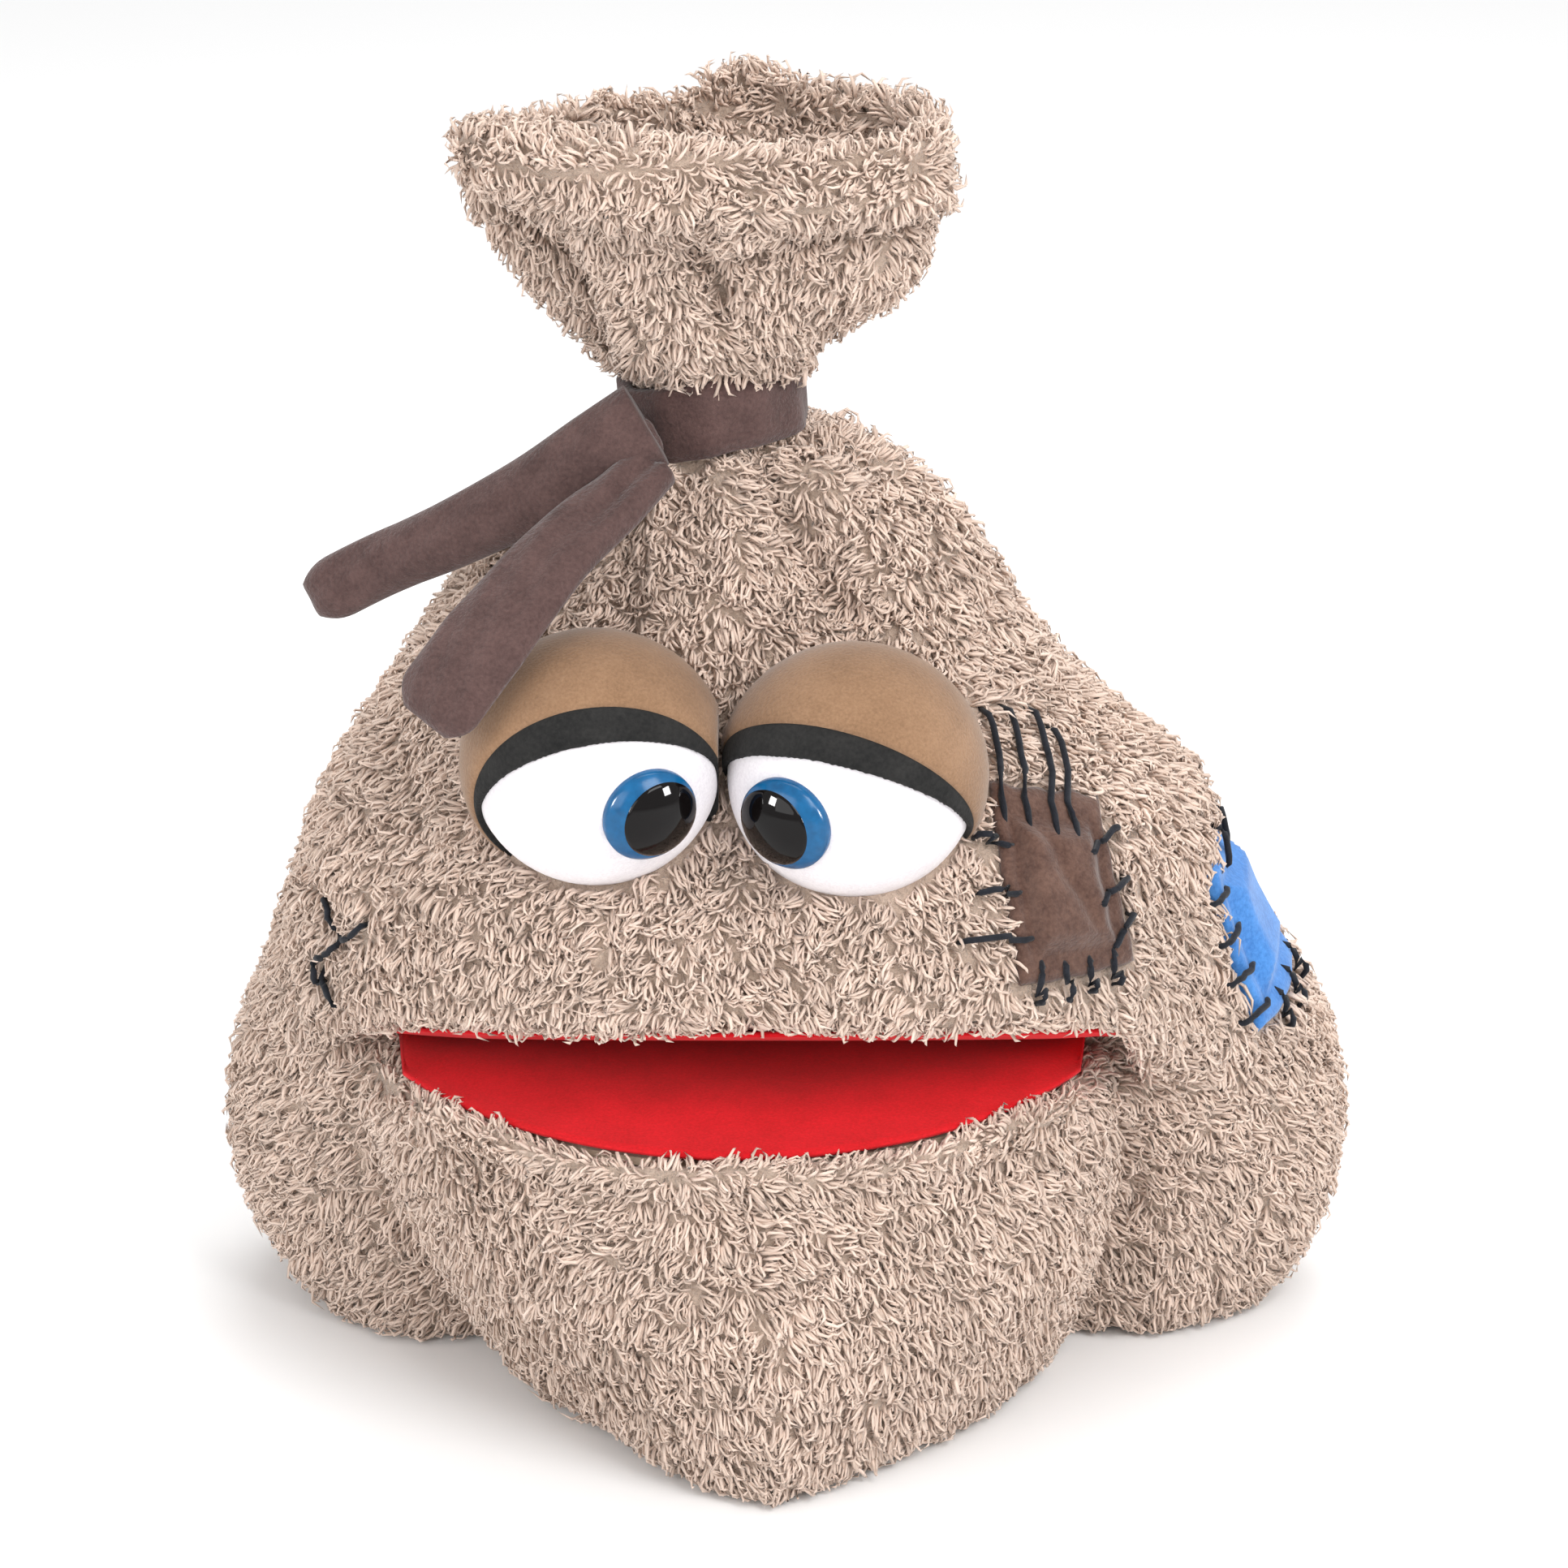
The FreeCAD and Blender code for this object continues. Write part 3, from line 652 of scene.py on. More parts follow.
def chin_skin(materials):
    """The chin lobe: a rounded wedge that widens from the floor up to the lip."""
    rows = []
    turns = 120
    for index, (z, left, right, front, power) in enumerate(CHIN):
        middle, half = (left + right) / 2, (right - left) / 2
        row = []
        for step in range(turns):
            turn = 2 * math.pi * step / turns
            cos, sin = math.cos(turn), math.sin(turn)
            x = middle + half * math.copysign(abs(cos) ** (2 / power), cos)
            reach = -2 - front if sin < 0 else 20
            y = -2 + reach * math.copysign(abs(sin) ** (2 / power), sin)
            fall = (y + 15) * math.tan(math.radians(5)) if index >= len(CHIN) - 2 else 0
            row.append(Vector((x, y, z + fall)) * MM)
        rows.append(row)
    mesh = soft_skin("chin_skin", [grid_mesh("chin_lobe", rows, cap_ends=True), lip_roll()], 6)
    points, normals = points_of(mesh), normals_of(mesh)
    points = points + normals * (waves(points, 0.07, 5) * 1.2 * MM)[:, None]
    set_points(mesh, points)
    skin = add_object("chin_skin", mesh, materials["plush"])
    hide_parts("chin_panel", "chin_skirt", "jaw_filling")
    return skin


def on_surface(tree, start, direction, fallback=None):
    """Where a ray first meets a surface: (place, normal)."""
    hit, normal, _, _ = tree.ray_cast(Vector(start), Vector(direction))
    if hit is None:
        return fallback
    if normal.dot(Vector(direction)) > 0:
        normal = -normal
    return hit, normal


def tree_of(*pieces):
    """One search tree over several shown pieces, in the row frame."""
    points, faces = [], []
    for piece in pieces:
        base = len(points)
        points += [piece.matrix_world @ v.co for v in piece.data.vertices]
        faces += [[base + i for i in polygon.vertices] for polygon in piece.data.polygons]
    return BVHTree.FromPolygons(points, faces)


# ---------------------------------------------------------------- mouth
def lip_axes(tilt):
    """Forward along a lip that tilts up by this angle, and square to it."""
    return Vector((0, -math.cos(tilt), math.sin(tilt))), Vector((0, math.sin(tilt), math.cos(tilt)))


def lip_reach(node, tilt, x, rise):
    """How far a palate reaches forward of the fold at x, read from its CAD node."""
    tree = lip_reach.trees.setdefault(node, tree_of(frame["nodes"][node]))
    ahead, up = lip_axes(tilt)
    base = Vector((x, HINGE.y, HINGE.z)) + up * rise
    hit = tree.ray_cast(base + ahead * 0.15, -ahead)[0]
    return 0.0 if hit is None else max((hit - base).dot(ahead), 0.0)


lip_reach.trees = {}


def mouth_lining(materials):
    """One red velour sheet: upper palate, fold, lower palate, with a shallow padded swell."""
    upper_tilt, lower_tilt = UPPER_LIP_TILT, LOWER_LIP_TILT
    low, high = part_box("lower_palate")
    top_low, top_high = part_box("upper_palate")
    x_start = min(low[0], top_low[0]) + 1.5 * MM
    x_end = max(high[0], top_high[0]) - 1.5 * MM
    columns, steps = 100, 22
    rows = []
    for column in range(columns + 1):
        x = x_start + (x_end - x_start) * column / columns
        upper = max(lip_reach("upper_palate", upper_tilt, x, 1 * MM) - 1 * MM, 5 * MM)
        lower = max(lip_reach("lower_palate", lower_tilt, x, -1 * MM) - 1 * MM, 5 * MM)
        row = []
        for step in range(steps + 1):
            share = 1 - step / steps
            ahead, up = lip_axes(upper_tilt)
            swell_out = math.sin(math.pi * share) * min(upper * 0.05, 2.2 * MM)
            reach = 2.0 * MM + (upper - 2.0 * MM) * share
            row.append(Vector((x, HINGE.y, HINGE.z)) + ahead * reach - up * (swell_out - 0.3 * MM))
        for step in range(1, steps + 1):
            share = step / steps
            ahead, up = lip_axes(lower_tilt)
            swell_out = math.sin(math.pi * share) * min(lower * 0.04, 2.0 * MM)
            edge_rise = 1.0 * MM * max(share - 0.8, 0) / 0.2
            reach = 2.0 * MM + (lower - 2.0 * MM) * share
            row.append(Vector((x, HINGE.y, HINGE.z)) + ahead * reach
                       + up * (swell_out + edge_rise - 0.5 * MM))
        rows.append(row)
    mesh = grid_mesh("mouth_lining", rows, closed_columns=False)
    # The sheet is thickened; at each x it reaches as far as the two palates do
    rough = add_object("mouth_rough", mesh)
    shell = rough.modifiers.new("thickness", "SOLIDIFY")
    shell.thickness = 1.2 * MM
    shell.offset = 0
    lining = add_object("mouth_lining", evaluated(rough), materials["red"])
    up = lip_axes((upper_tilt + lower_tilt) / 2)[1]
    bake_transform(lining)
    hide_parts("upper_palate", "lower_palate")
    return lining


# ---------------------------------------------------------------- eyes
EYES = {
    "left": {"lid_normal": (-0.094, 0.907, 0.410), "lid_plane": -9.0 * MM,
             "lash_normal": (-0.145, 0.743, 0.653), "lash_plane": -8.8 * MM, "nose": 1.0},
    "right": {"lid_normal": (0.283, 0.715, 0.639), "lid_plane": -3.5 * MM,
              "lash_normal": (0.241, 0.590, 0.771), "lash_plane": -6.0 * MM, "nose": -1.0},
}


def eye_place(side):
    """The ball's centre and the plastic eye's place, read from the CAD nodes."""
    low, high = (Vector(corner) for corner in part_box("eyeball_" + side))
    x = low.x + EYE_R if side == "left" else high.x - EYE_R
    iris_low, iris_high = (Vector(corner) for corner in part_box("iris_" + side))
    return Vector((x, low.y + EYE_DEPTH, high.z - EYE_R)), (iris_low + iris_high) / 2


def cap_point(centre, normal, angle, turn, grow):
    """A place on an eye's ellipsoid, by angle from an axis and turn round it."""
    axis = Vector((normal[0] * EYE_R, normal[1] * EYE_DEPTH, normal[2] * EYE_R)).normalized()
    first = axis.orthogonal().normalized()
    second = axis.cross(first)
    point = (axis * math.cos(angle)
             + (first * math.cos(turn) + second * math.sin(turn)) * math.sin(angle))
    return centre + Vector((point.x * (EYE_R + grow), point.y * (EYE_DEPTH + grow),
                            point.z * (EYE_R + grow)))


def cap_rows(centre, normal, angles, radii, squash_x, side, turns=72):
    """Rows of an ellipsoidal cap round an axis; the balls flatten where they meet.

    An angle is one number, or one number per turn."""
    rows = []
    for angle, grow in zip(angles, radii):
        row = []
        for step in range(turns):
            turn = 2 * math.pi * step / turns
            here = angle[step] if isinstance(angle, list) else angle
            place = cap_point(centre, normal, here, turn, grow)
            if side == "left":
                place.x = min(place.x, squash_x - 0.15 * MM)
            else:
                place.x = max(place.x, squash_x + 0.15 * MM)
            row.append(place)
        rows.append(row)
    return rows


def lash_reach(centre, facts, edge, turn):
    """How far past the lid's edge the lash band goes at one turn, as an angle."""
    lash_normal = Vector(facts["lash_normal"]).normalized()
    reach = 0.0
    for step in range(1, 60):
        angle = edge + step * 0.01
        place = cap_point(centre, facts["lid_normal"], angle, turn, 0.0)
        if (place - centre).dot(lash_normal) < facts["lash_plane"]:
            break
        reach = angle - edge
    return max(reach, 0.012)


def make_eye(side, materials):
    facts = EYES[side]
    centre, iris_place = eye_place(side)
    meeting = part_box("eyeball_left")[1][0]
    normal = Vector(facts["lid_normal"])
    scaled = Vector((normal.x * EYE_R, normal.y * EYE_DEPTH, normal.z * EYE_R))
    edge = math.acos(facts["lid_plane"] / scaled.length)

    angles = [math.pi * (0.30 + 0.695 * k / 44) for k in range(45)]
    ball = add_object("eyeball_soft_" + side,
                      grid_mesh("ball", cap_rows(centre, normal, angles, [0.0] * 45, meeting, side),
                                cap_ends=True), materials["white"])
    dress(ball, "sack", "white_velour", "eyeball_" + side)

    # The lid: a padded shell whose front edge rolls under
    angles = [LID_START + (edge - LID_START) * k / 40 for k in range(41)]
    radii = [LID_THICK] * 39 + [LID_THICK * 0.93, LID_THICK * 0.70]
    angles += [edge + 0.004, edge - 0.002, edge - 0.10]
    radii += [LID_THICK * 0.35, 0.2 * MM, 0.1 * MM]
    lid = add_object("eyelid_soft_" + side,
                     grid_mesh("lid", cap_rows(centre, normal, angles, radii, meeting, side)),
                     materials["tan"])
    dress(lid, "sack", "tan_velour", "eyelid_" + side)

    turns = 220
    reaches = [lash_reach(centre, facts, edge, 2 * math.pi * k / turns) for k in range(turns)]
    reaches = [sum(reaches[(k + j) % turns] for j in range(-3, 4)) / 7 for k in range(turns)]
    angles = [edge - 0.05, edge - 0.02]
    angles += [[edge + reach * share for reach in reaches] for share in (0.3, 0.7, 0.93, 1.0, 1.0)]
    radii = [0.9 * MM, 1.5 * MM, 1.6 * MM, 1.5 * MM, 1.3 * MM, 0.8 * MM, 0.0]
    lash_rows = cap_rows(centre, normal, angles, radii, meeting, side, turns)
    local = np.random.default_rng(SEED + 3)
    for row in lash_rows[-3:]:
        for index, point in enumerate(row):
            fray = 0.35 * MM * local.random() * (1 if index % 2 else 0.3)
            row[index] = point - normal * fray
    lash = add_object("lash_soft_" + side, grid_mesh("lash", lash_rows), materials["black"])
    dress(lash, "sack", "black_felt", "lash_band_" + side)

    plastic_eye(side, centre, iris_place, materials)
    return ball, lid, lash


def lathe_mesh(name, profile, turns=96):
    """A turned form from (radius, height) pairs, closed at both ends."""
    rows = []
    for radius, height in profile:
        rows.append([Vector((radius * math.cos(2 * math.pi * k / turns),
                             radius * math.sin(2 * math.pi * k / turns), height))
                     for k in range(turns)])
    return grid_mesh(name, rows, cap_ends=True)


def plastic_eye(side, centre, place, materials):
    """A glossy pressed-in eye: a domed blue ring with a domed dark pupil on it."""
    # Dividing twice turns a place on the eyeball's ellipsoid into its normal there
    gaze = place - centre
    gaze = Vector((gaze.x / EYE_R, gaze.y / EYE_DEPTH, gaze.z / EYE_R))
    gaze = Vector((gaze.x / EYE_R, gaze.y / EYE_DEPTH, gaze.z / EYE_R)).normalized()
    turn = Vector((0, 0, 1)).rotation_difference(gaze).to_matrix().to_4x4()
    frame_at = Matrix.Translation(place) @ turn

    def height(radius):
        return math.sqrt(EYE_DOME ** 2 - radius ** 2) - math.sqrt(EYE_DOME ** 2 - IRIS_R ** 2)

    rim = [(IRIS_R - 0.2 * MM, -2.5 * MM), (IRIS_R, -1.2 * MM), (IRIS_R, 0.4 * MM),
           (IRIS_R - 0.35 * MM, 0.9 * MM)]
    steps = 14
    for k in range(1, steps + 1):
        radius = (IRIS_R - 0.35 * MM) * (1 - k / steps) + 0.05 * MM
        rim.append((radius, 0.9 * MM + height(radius) * 0.92))
    iris_mesh = lathe_mesh("iris_dome", rim)
    iris_mesh.transform(frame_at)
    iris = add_object("iris_dome_" + side, iris_mesh, materials["iris"])
    dress(iris, "sack", "blue_iris", "iris_" + side, "eye_lens_" + side)

    # The pupil looks towards the nose, so its dome sits a little to that side
    local_nose = turn.inverted().to_3x3() @ Vector((EYES[side]["nose"], 0, 0))
    shift = Vector((local_nose.x, local_nose.y, 0)).normalized() * 1.6 * MM
    rows = []
    for k in range(steps + 1):
        radius = PUPIL_R * (1 - k / steps) + 0.05 * MM
        row = []
        for step in range(96):
            angle = 2 * math.pi * step / 96
            point = Vector((radius * math.cos(angle), radius * math.sin(angle), 0)) + shift
            point.z = 0.9 * MM + height(min(point.length, IRIS_R)) * 0.92 + 0.12 * MM
            row.append(point)
        rows.append(row)
    lower = [point - Vector((0, 0, 0.4 * MM)) for point in rows[0]]
    pupil_mesh = grid_mesh("pupil_dome", [lower] + rows, cap_ends=True)
    pupil_mesh.transform(frame_at)
    pupil = add_object("pupil_dome_" + side, pupil_mesh, materials["pupil"])
    dress(pupil, "sack", "dark_pupil", "pupil_" + side)


# ---------------------------------------------------------------- tie
def smooth_path(points, steps):
    """Catmull-Rom points along a path given in mm."""
    path = [Vector(point) * MM for point in points]
    path = [path[0] * 2 - path[1]] + path + [path[-1] * 2 - path[-2]]
    made = []
    for index in range(1, len(path) - 2):
        p0, p1, p2, p3 = path[index - 1:index + 3]
        for step in range(steps):
            t = step / steps
            made.append(((p1 * 2) + (p2 - p0) * t + (p0 * 2 - p1 * 5 + p2 * 4 - p3) * t * t
                         + (p1 * 3 - p0 - p2 * 3 + p3) * t * t * t) / 2)
    made.append(path[-2])
    return made


def strap(name, points, width, thick, flat, material, pleat=0.0, root=0.86, tip=1.1):
    """A padded strap with a rounded end, and a pleat near its root if asked."""
    path = smooth_path(points, 14)
    flat = Vector(flat)
    count = len(path)
    rows = []
    for index, place in enumerate(path):
        share = index / (count - 1)
        along = (path[min(index + 1, count - 1)] - path[max(index - 1, 0)]).normalized()
        across = along.cross(flat).normalized()
        out = across.cross(along).normalized()
        half = width / 2 * (root + (tip - root) * min(share * 1.4, 1))
        deep = thick / 2 * (1.0 - 0.35 * share)
        ending = 1.0
        if share > 0.93:
            ending = math.sqrt(max(1 - ((share - 0.93) / 0.0725) ** 2, 0.05))
        rounding = 1 - 0.42 * max((share - 0.90) / 0.10, 0) ** 2.5
        row = []
        for step in range(40):
            turn = 2 * math.pi * step / 40
            cos, sin = math.cos(turn), math.sin(turn)
            w = half * math.copysign(abs(cos) ** 0.95, cos) * rounding
            d = deep * math.copysign(abs(sin) ** 0.95, sin) * ending
            fade = max(1 - share * 1.7, 0)
            if sin > 0:
                d -= pleat * fade * math.exp(-(w / (half * 0.28)) ** 2)
            wave = 0.25 * MM * math.sin(share * 23 + w * 900)
            row.append(place + across * w + out * (d + wave * (1 if sin > 0 else 0)))
        rows.append(row)
    return add_object(name, grid_mesh(name, rows, cap_ends=True), material)


def make_tie(materials):
    upper = strap("tie_tail_upper_felt", [(-34, -19, 259), (-46, -20, 252), (-62, -18, 241),
                                          (-82, -14, 229), (-102, -8, 218), (-119, -5, 208)],
                  18 * MM, 13 * MM, (0, -1, 0.3), materials["felt"], root=1.25, tip=0.90)
    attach(upper, "tail_upper")
    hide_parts("tie_tail_upper")
    lower = strap("tie_tail_lower_felt", [(-32, -24, 250), (-41, -33, 244), (-54, -45, 236),
                                          (-66, -56, 225), (-77, -65, 213), (-87, -69, 200)],
                  22 * MM, 10 * MM, (-0.4, -0.8, 0.3), materials["felt"], pleat=3.0 * MM,
                  root=0.62, tip=1.06)
    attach(lower, "tail_lower")
    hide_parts("tie_tail_lower")

    tilt = Matrix.Rotation(math.radians(-12), 4, "Y")
    radius_x, radius_y, half = 23.4 * MM, 22.0 * MM, 9.8 * MM
    profile = [(-1, -0.6), (-1.0, 0.3), (-0.93, 0.85), (-0.6, 1.0), (-0.2, 1.1), (0.2, 1.05),
               (0.6, 1.0), (0.93, 0.85), (1.0, 0.3), (1, -0.6)]
    rows = []
    for height, out in profile:
        row = []
        for step in range(120):
            turn = 2 * math.pi * step / 120
            fold = 0.7 * MM * math.sin(turn * 5 + height * 2.2) + 0.4 * MM * math.sin(turn * 11 - height)
            grow = (out - 1) * 2.6 * MM + fold * (0.4 + 0.6 * abs(height))
            point = Vector(((radius_x + grow) * math.cos(turn), (radius_y + grow) * math.sin(turn),
                            height * half + 0.8 * MM * math.sin(turn * 3)))
            row.append(NECK + tilt @ point)
        rows.append(row)
    band = add_object("neck_band_felt", grid_mesh("band", rows, closed_rows=True), materials["felt"])
    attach(band, "sack")
    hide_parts("neck_band")

    knot_low, knot_high = (Vector(corner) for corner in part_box("tie_knot"))
    centre = (knot_low + knot_high) / 2
    rows = []
    for k in range(1, 24):
        latitude = math.pi * k / 24 - math.pi / 2
        row = []
        for step in range(48):
            turn = 2 * math.pi * step / 48
            groove_in = 0.12 * math.exp(-((math.sin(turn) + 0.5) / 0.25) ** 2)
            reach = 1 - groove_in + 0.05 * math.sin(latitude * 7)
            row.append(centre + Vector((6.0 * MM * math.cos(latitude) * math.cos(turn) * reach,
                                        6.5 * MM * math.cos(latitude) * math.sin(turn) * reach,
                                        9.5 * MM * math.sin(latitude))))
        rows.append(row)
    knot = add_object("tie_knot_felt", grid_mesh("knot", rows, cap_ends=True), materials["felt"])
    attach(knot, "sack")
    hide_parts("tie_knot")
    return upper, lower, band, knot


# ---------------------------------------------------------------- ruff
RUFF_RIM = [(40, -12), (35, 14), (14, 30), (-8, 40), (-30, 26), (-56, 8), (-80, -14),
            (-62, -27), (-20, -31), (18, -28)]


def closed_curve(points, steps):
    """A closed Catmull-Rom ring through points given in mm, in the XY plane."""
    count = len(points)
    ring = []
    for index in range(count):
        p0, p1, p2, p3 = (np.array(points[(index + k) % count], float) for k in (-1, 0, 1, 2))
        for step in range(steps):
            t = step / steps
            ring.append(((2 * p1) + (p2 - p0) * t + (2 * p0 - 5 * p1 + 4 * p2 - p3) * t * t
                         + (3 * p1 - p0 - 3 * p2 + p3) * t ** 3) / 2 * MM)
    return np.array(ring)


def ruff_skin(materials):
    """The sack's flared mouth above the tie: a thick folded cuff, open at the top."""
    rim_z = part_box("ruff_hem")[1][2] - 8 * MM
    rim = closed_curve(RUFF_RIM, 14)
    middle = np.array([NECK.x, 4 * MM])
    angle = np.arctan2(rim[:, 1] - middle[1], rim[:, 0] - middle[0])
    neck = np.column_stack([NECK.x + 22 * MM * np.cos(angle), NECK.y + 19 * MM * np.sin(angle)])
    peak = 4.5 * MM * np.exp(-((rim[:, 0] + 8 * MM) / (16 * MM)) ** 2) * (rim[:, 1] > 0)
    low_z = NECK.z + 9 * MM

    def row(share, shrink, z):
        flat = neck + (rim - neck) * share
        inward = middle - flat
        inward /= np.linalg.norm(inward, axis=1, keepdims=True)
        flat = flat + inward * shrink
        heights = z + peak * max(share - 0.6, 0) / 0.4
        return [Vector((p[0], p[1], h)) for p, h in zip(flat, heights)]

    rows = []
    steps = 26
    for k in range(steps + 1):
        t = k / steps
        rows.append(row(1 - (1 - t) ** 2, 0.0, low_z + (rim_z - low_z) * t))
    wall = 9 * MM
    for k in range(1, 9):
        turn = math.pi * k / 8
        rows.append(row(1.0, wall / 2 * (1 - math.cos(turn)), rim_z + 3.5 * MM * math.sin(turn)))
    for k in range(1, 13):
        t = 1 - k / 12
        rows.append(row(0.25 + 0.75 * (1 - (1 - t) ** 2), wall, rim_z - 36 * MM * (1 - t)))
    mesh = grid_mesh("ruff_skin", rows, cap_ends=True)
    points, normals = points_of(mesh), normals_of(mesh)
    outer = points[:, 2] > low_z + 4 * MM
    points = points + normals * ((waves(points, 0.045, 21) * 1.6 - 1.5) * MM * outer)[:, None]
    creases = [
        ([(-22, 305), (-17, 299), (-14, 288)], 5.0, 8.0),
        ([(0, 296), (8, 284)], 6.0, 2.5),
    ]
    for path, width, depth in creases:
        points = groove(points, normals, path, width, depth)
    points = tuck(points, [(-41, 278), (-45, 296), (-53, 308), (-66, 316)], 13.0, 20.0)
    points = tuck(points, [(38, 314), (12, 311), (-8, 307)], 8.0, 11.0)
    front = np.clip(-normals[:, 1] * 2, 0, 1)
    step = np.exp(-((points[:, 2] - CUFF_Z) / (3.2 * MM)) ** 2)
    ledge = CUFF_RISE * step * front * (points[:, 0] > -0.05)
    points = points + normals * ledge[:, None]
    set_points(mesh, points)
    skin = add_object("ruff_skin", mesh, materials["plush"])
    dress(skin, "ruff", "beige_plush", "ruff_panels", "ruff_hem")
    return skin


# ---------------------------------------------------------------- patches and stitches
# Corners go round from the top left; strokes run between shares of the way across and down
CHEEK_CORNERS = [(50.5, 172.5), (77.5, 165), (86.5, 128.5), (58, 129.5)]
SIDE_CORNERS = [(-14, 137), (27, 140), (30, 96), (-10, 91)]
CHEEK_STROKES = [((0.04, -0.34), (0.13, 0.13)), ((0.24, -0.36), (0.36, 0.12)),
                 ((0.48, -0.36), (0.60, 0.13)), ((0.64, -0.28), (0.80, 0.15)),
                 ((-0.22, 0.27), (0.16, 0.24)), ((-0.30, 0.54), (0.17, 0.48)),
                 ((-0.48, 0.76), (0.20, 0.72)),
                 ((0.88, 0.20), (1.13, 0.16)), ((0.86, 0.52), (1.10, 0.46)),
                 ((0.88, 0.86), (1.08, 0.68)),
                 ((0.24, 0.86), (0.12, 1.14)), ((0.44, 0.87), (0.36, 1.15)),
                 ((0.66, 0.87), (0.58, 1.14)), ((0.88, 0.86), (0.80, 1.14))]
SIDE_STROKES = [((-0.20, 0.13), (0.14, 0.15)), ((-0.20, 0.38), (0.15, 0.39)),
                ((-0.19, 0.62), (0.14, 0.64)), ((-0.18, 0.86), (0.14, 0.86)),
                ((0.28, 0.86), (0.28, 1.14)), ((0.55, 0.86), (0.55, 1.14)),
                ((0.86, 0.86), (0.88, 1.14)), ((0.34, -0.16), (0.36, 0.13)),
                ((0.66, -0.16), (0.66, 0.13))]
SCAR_STROKES = [((-115, 135), (-109, 127)), ((-109, 128), (-104, 134)),
                ((-109, 127), (-118, 119)), ((-118, 119), (-117, 112)),
                ((-117, 116), (-111, 108))]


def on_patch(corners, across, down):
    """A place on a patch's sewing plan, from shares of the way across and down."""
    (a, b, c, d) = corners
    return tuple((a[i] * (1 - across) + b[i] * across) * (1 - down)
                 + (d[i] * (1 - across) + c[i] * across) * down for i in range(2))


def stroke_plan(corners, strokes):
    return [[on_patch(corners, *end) for end in stroke] for stroke in strokes]


def from_front(a, b):
    return Vector((a * MM, -0.3, b * MM)), Vector((0, 1, 0))


def from_right(a, b):
    return Vector((0.3, a * MM, b * MM)), Vector((-1, 0, 0))


def make_patch(name, corners, look, tree, material, slot, node, fold=0.0):
    """A puffed patch with a flat sewn hem, laid on the plush."""
    size = 34
    top, under = [], []
    for i in range(size + 1):
        u = i / size
        row, low_row = [], []
        for j in range(size + 1):
            v = j / size
            edge = min(u, 1 - u, v, 1 - v)
            wobble = 0.5 * math.sin(u * 19) * (1 - min(edge * 8, 1)) + 0.4 * math.sin(v * 23 + 1)
            start, direction = look(*(value + wobble * 0.5 for value in on_patch(corners, u, v)))
            place, normal = on_surface(tree, start, direction, (start + direction * 0.3, -direction))
            hem = min(edge / 0.03, 1.0)
            crown = max(min((edge - 0.13) / 0.16, 1.0), 0.0)
            crown = crown * crown * (3 - 2 * crown)
            crease = fold * math.exp(-((u - v * 0.6 - 0.25) / 0.07) ** 2) * crown
            stitch_dip = 0.7 * math.exp(-((edge - 0.13) / 0.022) ** 2)
            lift = 1.6 + 1.4 * hem + 4.2 * crown - crease - stitch_dip
            row.append(place + normal * lift * MM)
            low_row.append(place - normal * 1.5 * MM)
        top.append(row)
        under.append(low_row)
    builder = bmesh.new()
    grid = [[builder.verts.new(point) for point in row] for row in top]
    base = [[builder.verts.new(point) for point in row] for row in under]
    for i in range(size):
        for j in range(size):
            builder.faces.new((grid[i][j], grid[i + 1][j], grid[i + 1][j + 1], grid[i][j + 1]))
            builder.faces.new((base[i][j], base[i][j + 1], base[i + 1][j + 1], base[i + 1][j]))
    for k in range(size):
        builder.faces.new((grid[k][0], base[k][0], base[k + 1][0], grid[k + 1][0]))
        builder.faces.new((grid[k][size], grid[k + 1][size], base[k + 1][size], base[k][size]))
        builder.faces.new((grid[0][k], grid[0][k + 1], base[0][k + 1], base[0][k]))
        builder.faces.new((grid[size][k], base[size][k], base[size][k + 1], grid[size][k + 1]))
    patch = add_object(name, finish_mesh(name, builder), material)
    dress(patch, "sack", slot, node)
    return patch


def make_stitches(name, strokes, look, over, skin_tree, materials, node):
    """Thick threads over cloth and pile, each a short strand whose ends dive in."""
    rows_all = []
    local = np.random.default_rng(SEED + len(strokes))
    for start, end in strokes:
        path = []
        for k in range(9):
            share = k / 8
            a = start[0] + (end[0] - start[0]) * share + local.normal(0, 0.12)
            b = start[1] + (end[1] - start[1]) * share + local.normal(0, 0.12)
            origin, direction = look(a, b)
            missed = (origin + direction * 0.3, -direction)
            place, normal = on_surface(over, origin, direction, missed)
            backing = on_surface(skin_tree, origin, direction, missed)[0]
            rise = max(1.3 * MM, THREAD_RISE - (place - backing).length)
            path.append(place + normal * (rise * (1 - (2 * share - 1) ** 6) - 0.6 * MM))
        rows = []
        for k, place in enumerate(path):
            along = (path[min(k + 1, 8)] - path[max(k - 1, 0)]).normalized()
            side = along.orthogonal().normalized()
            out = along.cross(side)
            thick = THREAD_R * (0.75 if k in (0, 8) else 1.0)
            rows.append([place + (side * math.cos(t) + out * math.sin(t)) * thick
                         for t in (2 * math.pi * m / 8 for m in range(8))])
        rows_all.append(rows)
    builder = bmesh.new()
    for rows in rows_all:
        add_grid(builder, rows, cap_ends=True)
    threads = add_object(name, finish_mesh(name, builder), materials["thread"])
    dress(threads, "sack", "black_thread", node)
    return threads


# ---------------------------------------------------------------- where the pile grows
PROBE = Vector((0.31, -0.87, 0.38)).normalized()


def inside(where, tree, margin):
    """True for points inside a closed skin, or nearer than margin to it."""
    flags = np.zeros(len(where), bool)
    for index, place in enumerate(where):
        hit, normal, _, _ = tree.ray_cast(Vector(place), PROBE)
        flags[index] = hit is not None and normal.dot(PROBE) > 0
        if margin and not flags[index]:
            flags[index] = tree.find_nearest(Vector(place), margin)[0] is not None
    return flags


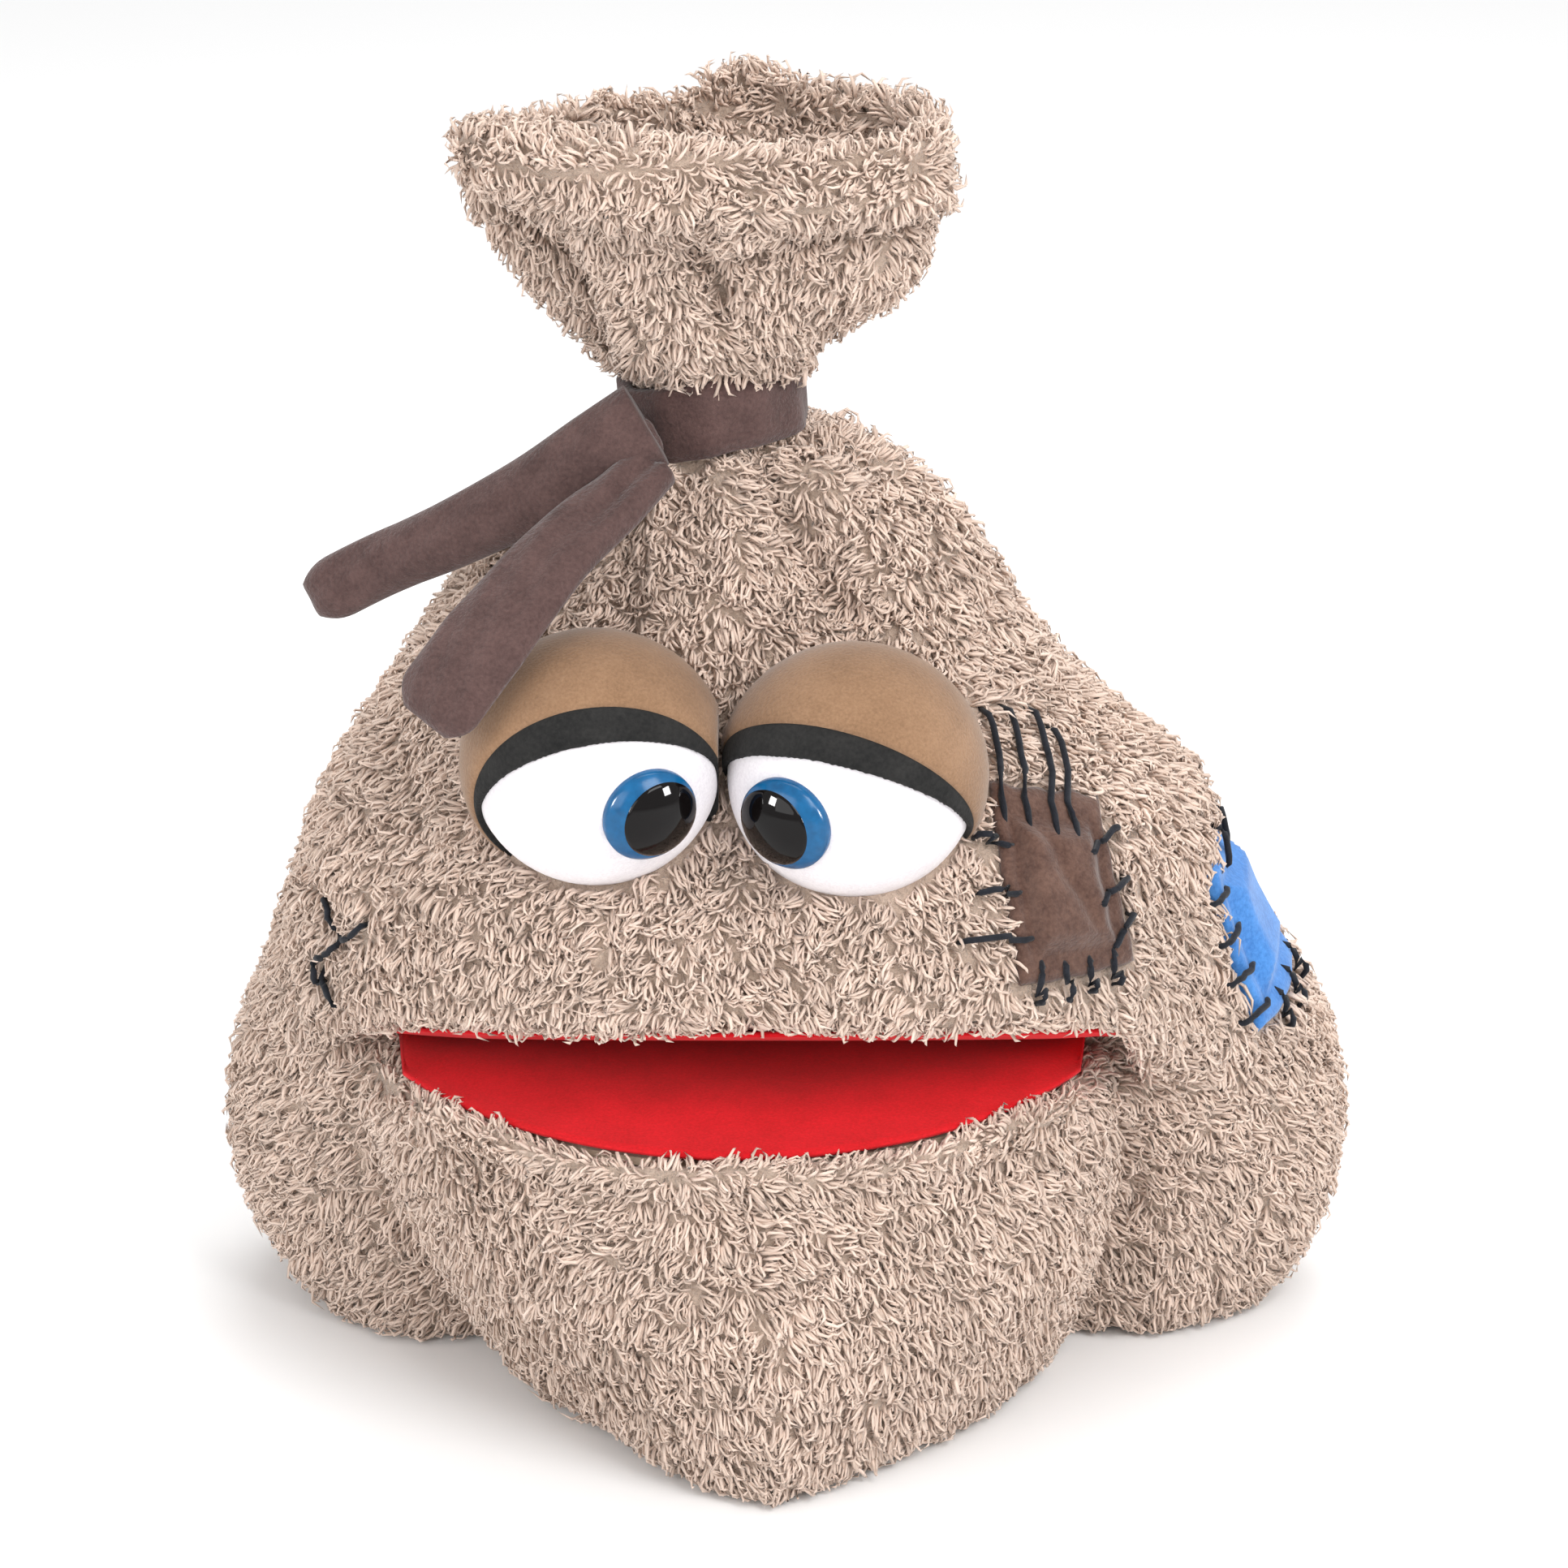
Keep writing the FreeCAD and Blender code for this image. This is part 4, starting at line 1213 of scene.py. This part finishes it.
def in_eye(where):
    flags = np.zeros(len(where), bool)
    for side in EYES:
        centre, _ = eye_place(side)
        scaled = (where - np.array(centre)) / np.array([EYE_R, EYE_DEPTH, EYE_R])
        flags |= np.linalg.norm(scaled, axis=1) < 1.01
    return flags


def sack_fall(where, facing):
    down = np.tile([0.0, 0.0, -1.0], (len(where), 1))
    outward = where - np.array([0.0, 0.01, 0.12])
    outward[:, 2] *= 0.2
    return down * 0.9 + unit(outward) * 0.5


def chin_fall(where, facing):
    """Pile hangs down, but stands up over the red at the lip."""
    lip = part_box("chin_panel")[1][2]
    up = np.clip((where[:, 2] - (lip - 12 * MM)) / (9 * MM), 0, 1)
    lie = np.zeros_like(where)
    lie[:, 2] = -1.0 + 2.0 * up
    lie[:, 1] = -0.3 + 0.3 * up + 1.6 * np.clip(facing[:, 2], 0, 1) * up
    return lie


def ruff_fall(where, facing):
    rim_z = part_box("ruff_hem")[1][2]
    up = np.clip((where[:, 2] - (rim_z - 16 * MM)) / (10 * MM), 0, 1)
    lie = facing * 0.3
    lie[:, 2] += -1.0 + 1.9 * up
    return lie


def sack_trim(where):
    """Shorter pile along the upper lip."""
    return np.where((where[:, 2] < 0.128) & (where[:, 1] < -0.045), 0.85, 1.0)


def chin_trim(where):
    """Shorter pile along the lower lip."""
    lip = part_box("chin_panel")[1][2]
    return 1 - 0.25 * np.clip((where[:, 2] - (lip - 16 * MM)) / (8 * MM), 0, 1)


def grow_fur(name, skin, fall, blockers, shades, seed, cut=(), lift=0.42, length=FUR_LENGTH,
             extra=None, trim=None):
    """Pile over one skin wherever it is in the open."""
    local = np.random.default_rng(seed)
    where, facing = scatter(skin.data, FUR_DENSITY, local)
    keep = ~in_eye(where)
    keep &= where[:, 2] > FUR_START
    if extra is not None:
        keep &= extra(where, facing)
    where, facing = where[keep], facing[keep]
    for tree, margin in cut:
        keep = ~inside(where, tree, margin)
        where, facing = where[keep], facing[keep]
    keep = exposed(where, facing, blockers, PILE_ROOM)
    where, facing = where[keep], facing[keep]
    lie = lay_of_pile(where, facing, fall, seed)
    lengths = length * (trim(where) if trim is not None else np.ones(len(where)))
    pieces = make_locks(name, where, facing, lie, shades, local, lengths, lift)
    return pieces


def main():
    materials = all_materials()
    make_stage()
    for node, material in CARRIED.items():
        mesh = frame["nodes"][node].data
        mesh.materials.clear()
        mesh.materials.append(materials[material])
    sack = sack_skin(materials)
    chin = chin_skin(materials)
    lining = mouth_lining(materials)
    ruff = ruff_skin(materials)
    eye_pieces = [piece for side in EYES for piece in make_eye(side, materials)]
    tie = make_tie(materials)

    sack_tree = tree_of(sack)
    cheek = make_patch("cheek_patch_cloth", CHEEK_CORNERS, from_front, sack_tree,
                       materials["brown"], "brown_patch", "cheek_patch", fold=1.6)
    side = make_patch("side_patch_cloth", SIDE_CORNERS, from_right, sack_tree,
                      materials["blue"], "blue_patch", "side_patch")
    over = tree_of(sack, cheek, side)
    threads = [make_stitches("cheek_patch_thread", stroke_plan(CHEEK_CORNERS, CHEEK_STROKES),
                             from_front, over, sack_tree, materials, "cheek_patch_stitches"),
               make_stitches("side_patch_thread", stroke_plan(SIDE_CORNERS, SIDE_STROKES),
                             from_right, over, sack_tree, materials, "side_patch_stitches"),
               make_stitches("scar_thread", SCAR_STROKES, from_front, over, sack_tree, materials,
                             "scar_stitches")]

    chin_tree = tree_of(chin)
    patch_trees = [(tree_of(cheek), 1.3 * MM), (tree_of(side), 0.8 * MM), (tree_of(tie[2]), 0.0),
                   (tree_of(*threads), THREAD_CLEARING)]
    blockers = tree_of(sack, chin, lining, ruff, cheek, side, *eye_pieces)
    fur = grow_fur("sack_pile", sack, sack_fall, blockers, materials["fur"], 31,
                   cut=[(chin_tree, 0.0)] + patch_trees,
                   extra=lambda where, facing: where[:, 2] < NECK.z, trim=sack_trim)
    fur += grow_fur("ruff_pile", ruff, ruff_fall, blockers, materials["fur"], 32, lift=0.5,
                    length=RUFF_FUR_LENGTH,
                    extra=lambda where, facing: where[:, 2] > NECK.z + 9.5 * MM)
    for piece in fur:
        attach(piece, "ruff" if piece.name.startswith("ruff") else "sack")
    chin_fur = grow_fur("chin_pile", chin, chin_fall, blockers, materials["fur"], 33,
                        cut=[(sack_tree, 0.0)], trim=chin_trim)
    for piece in chin_fur:
        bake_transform(piece)
    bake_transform(chin)


main()
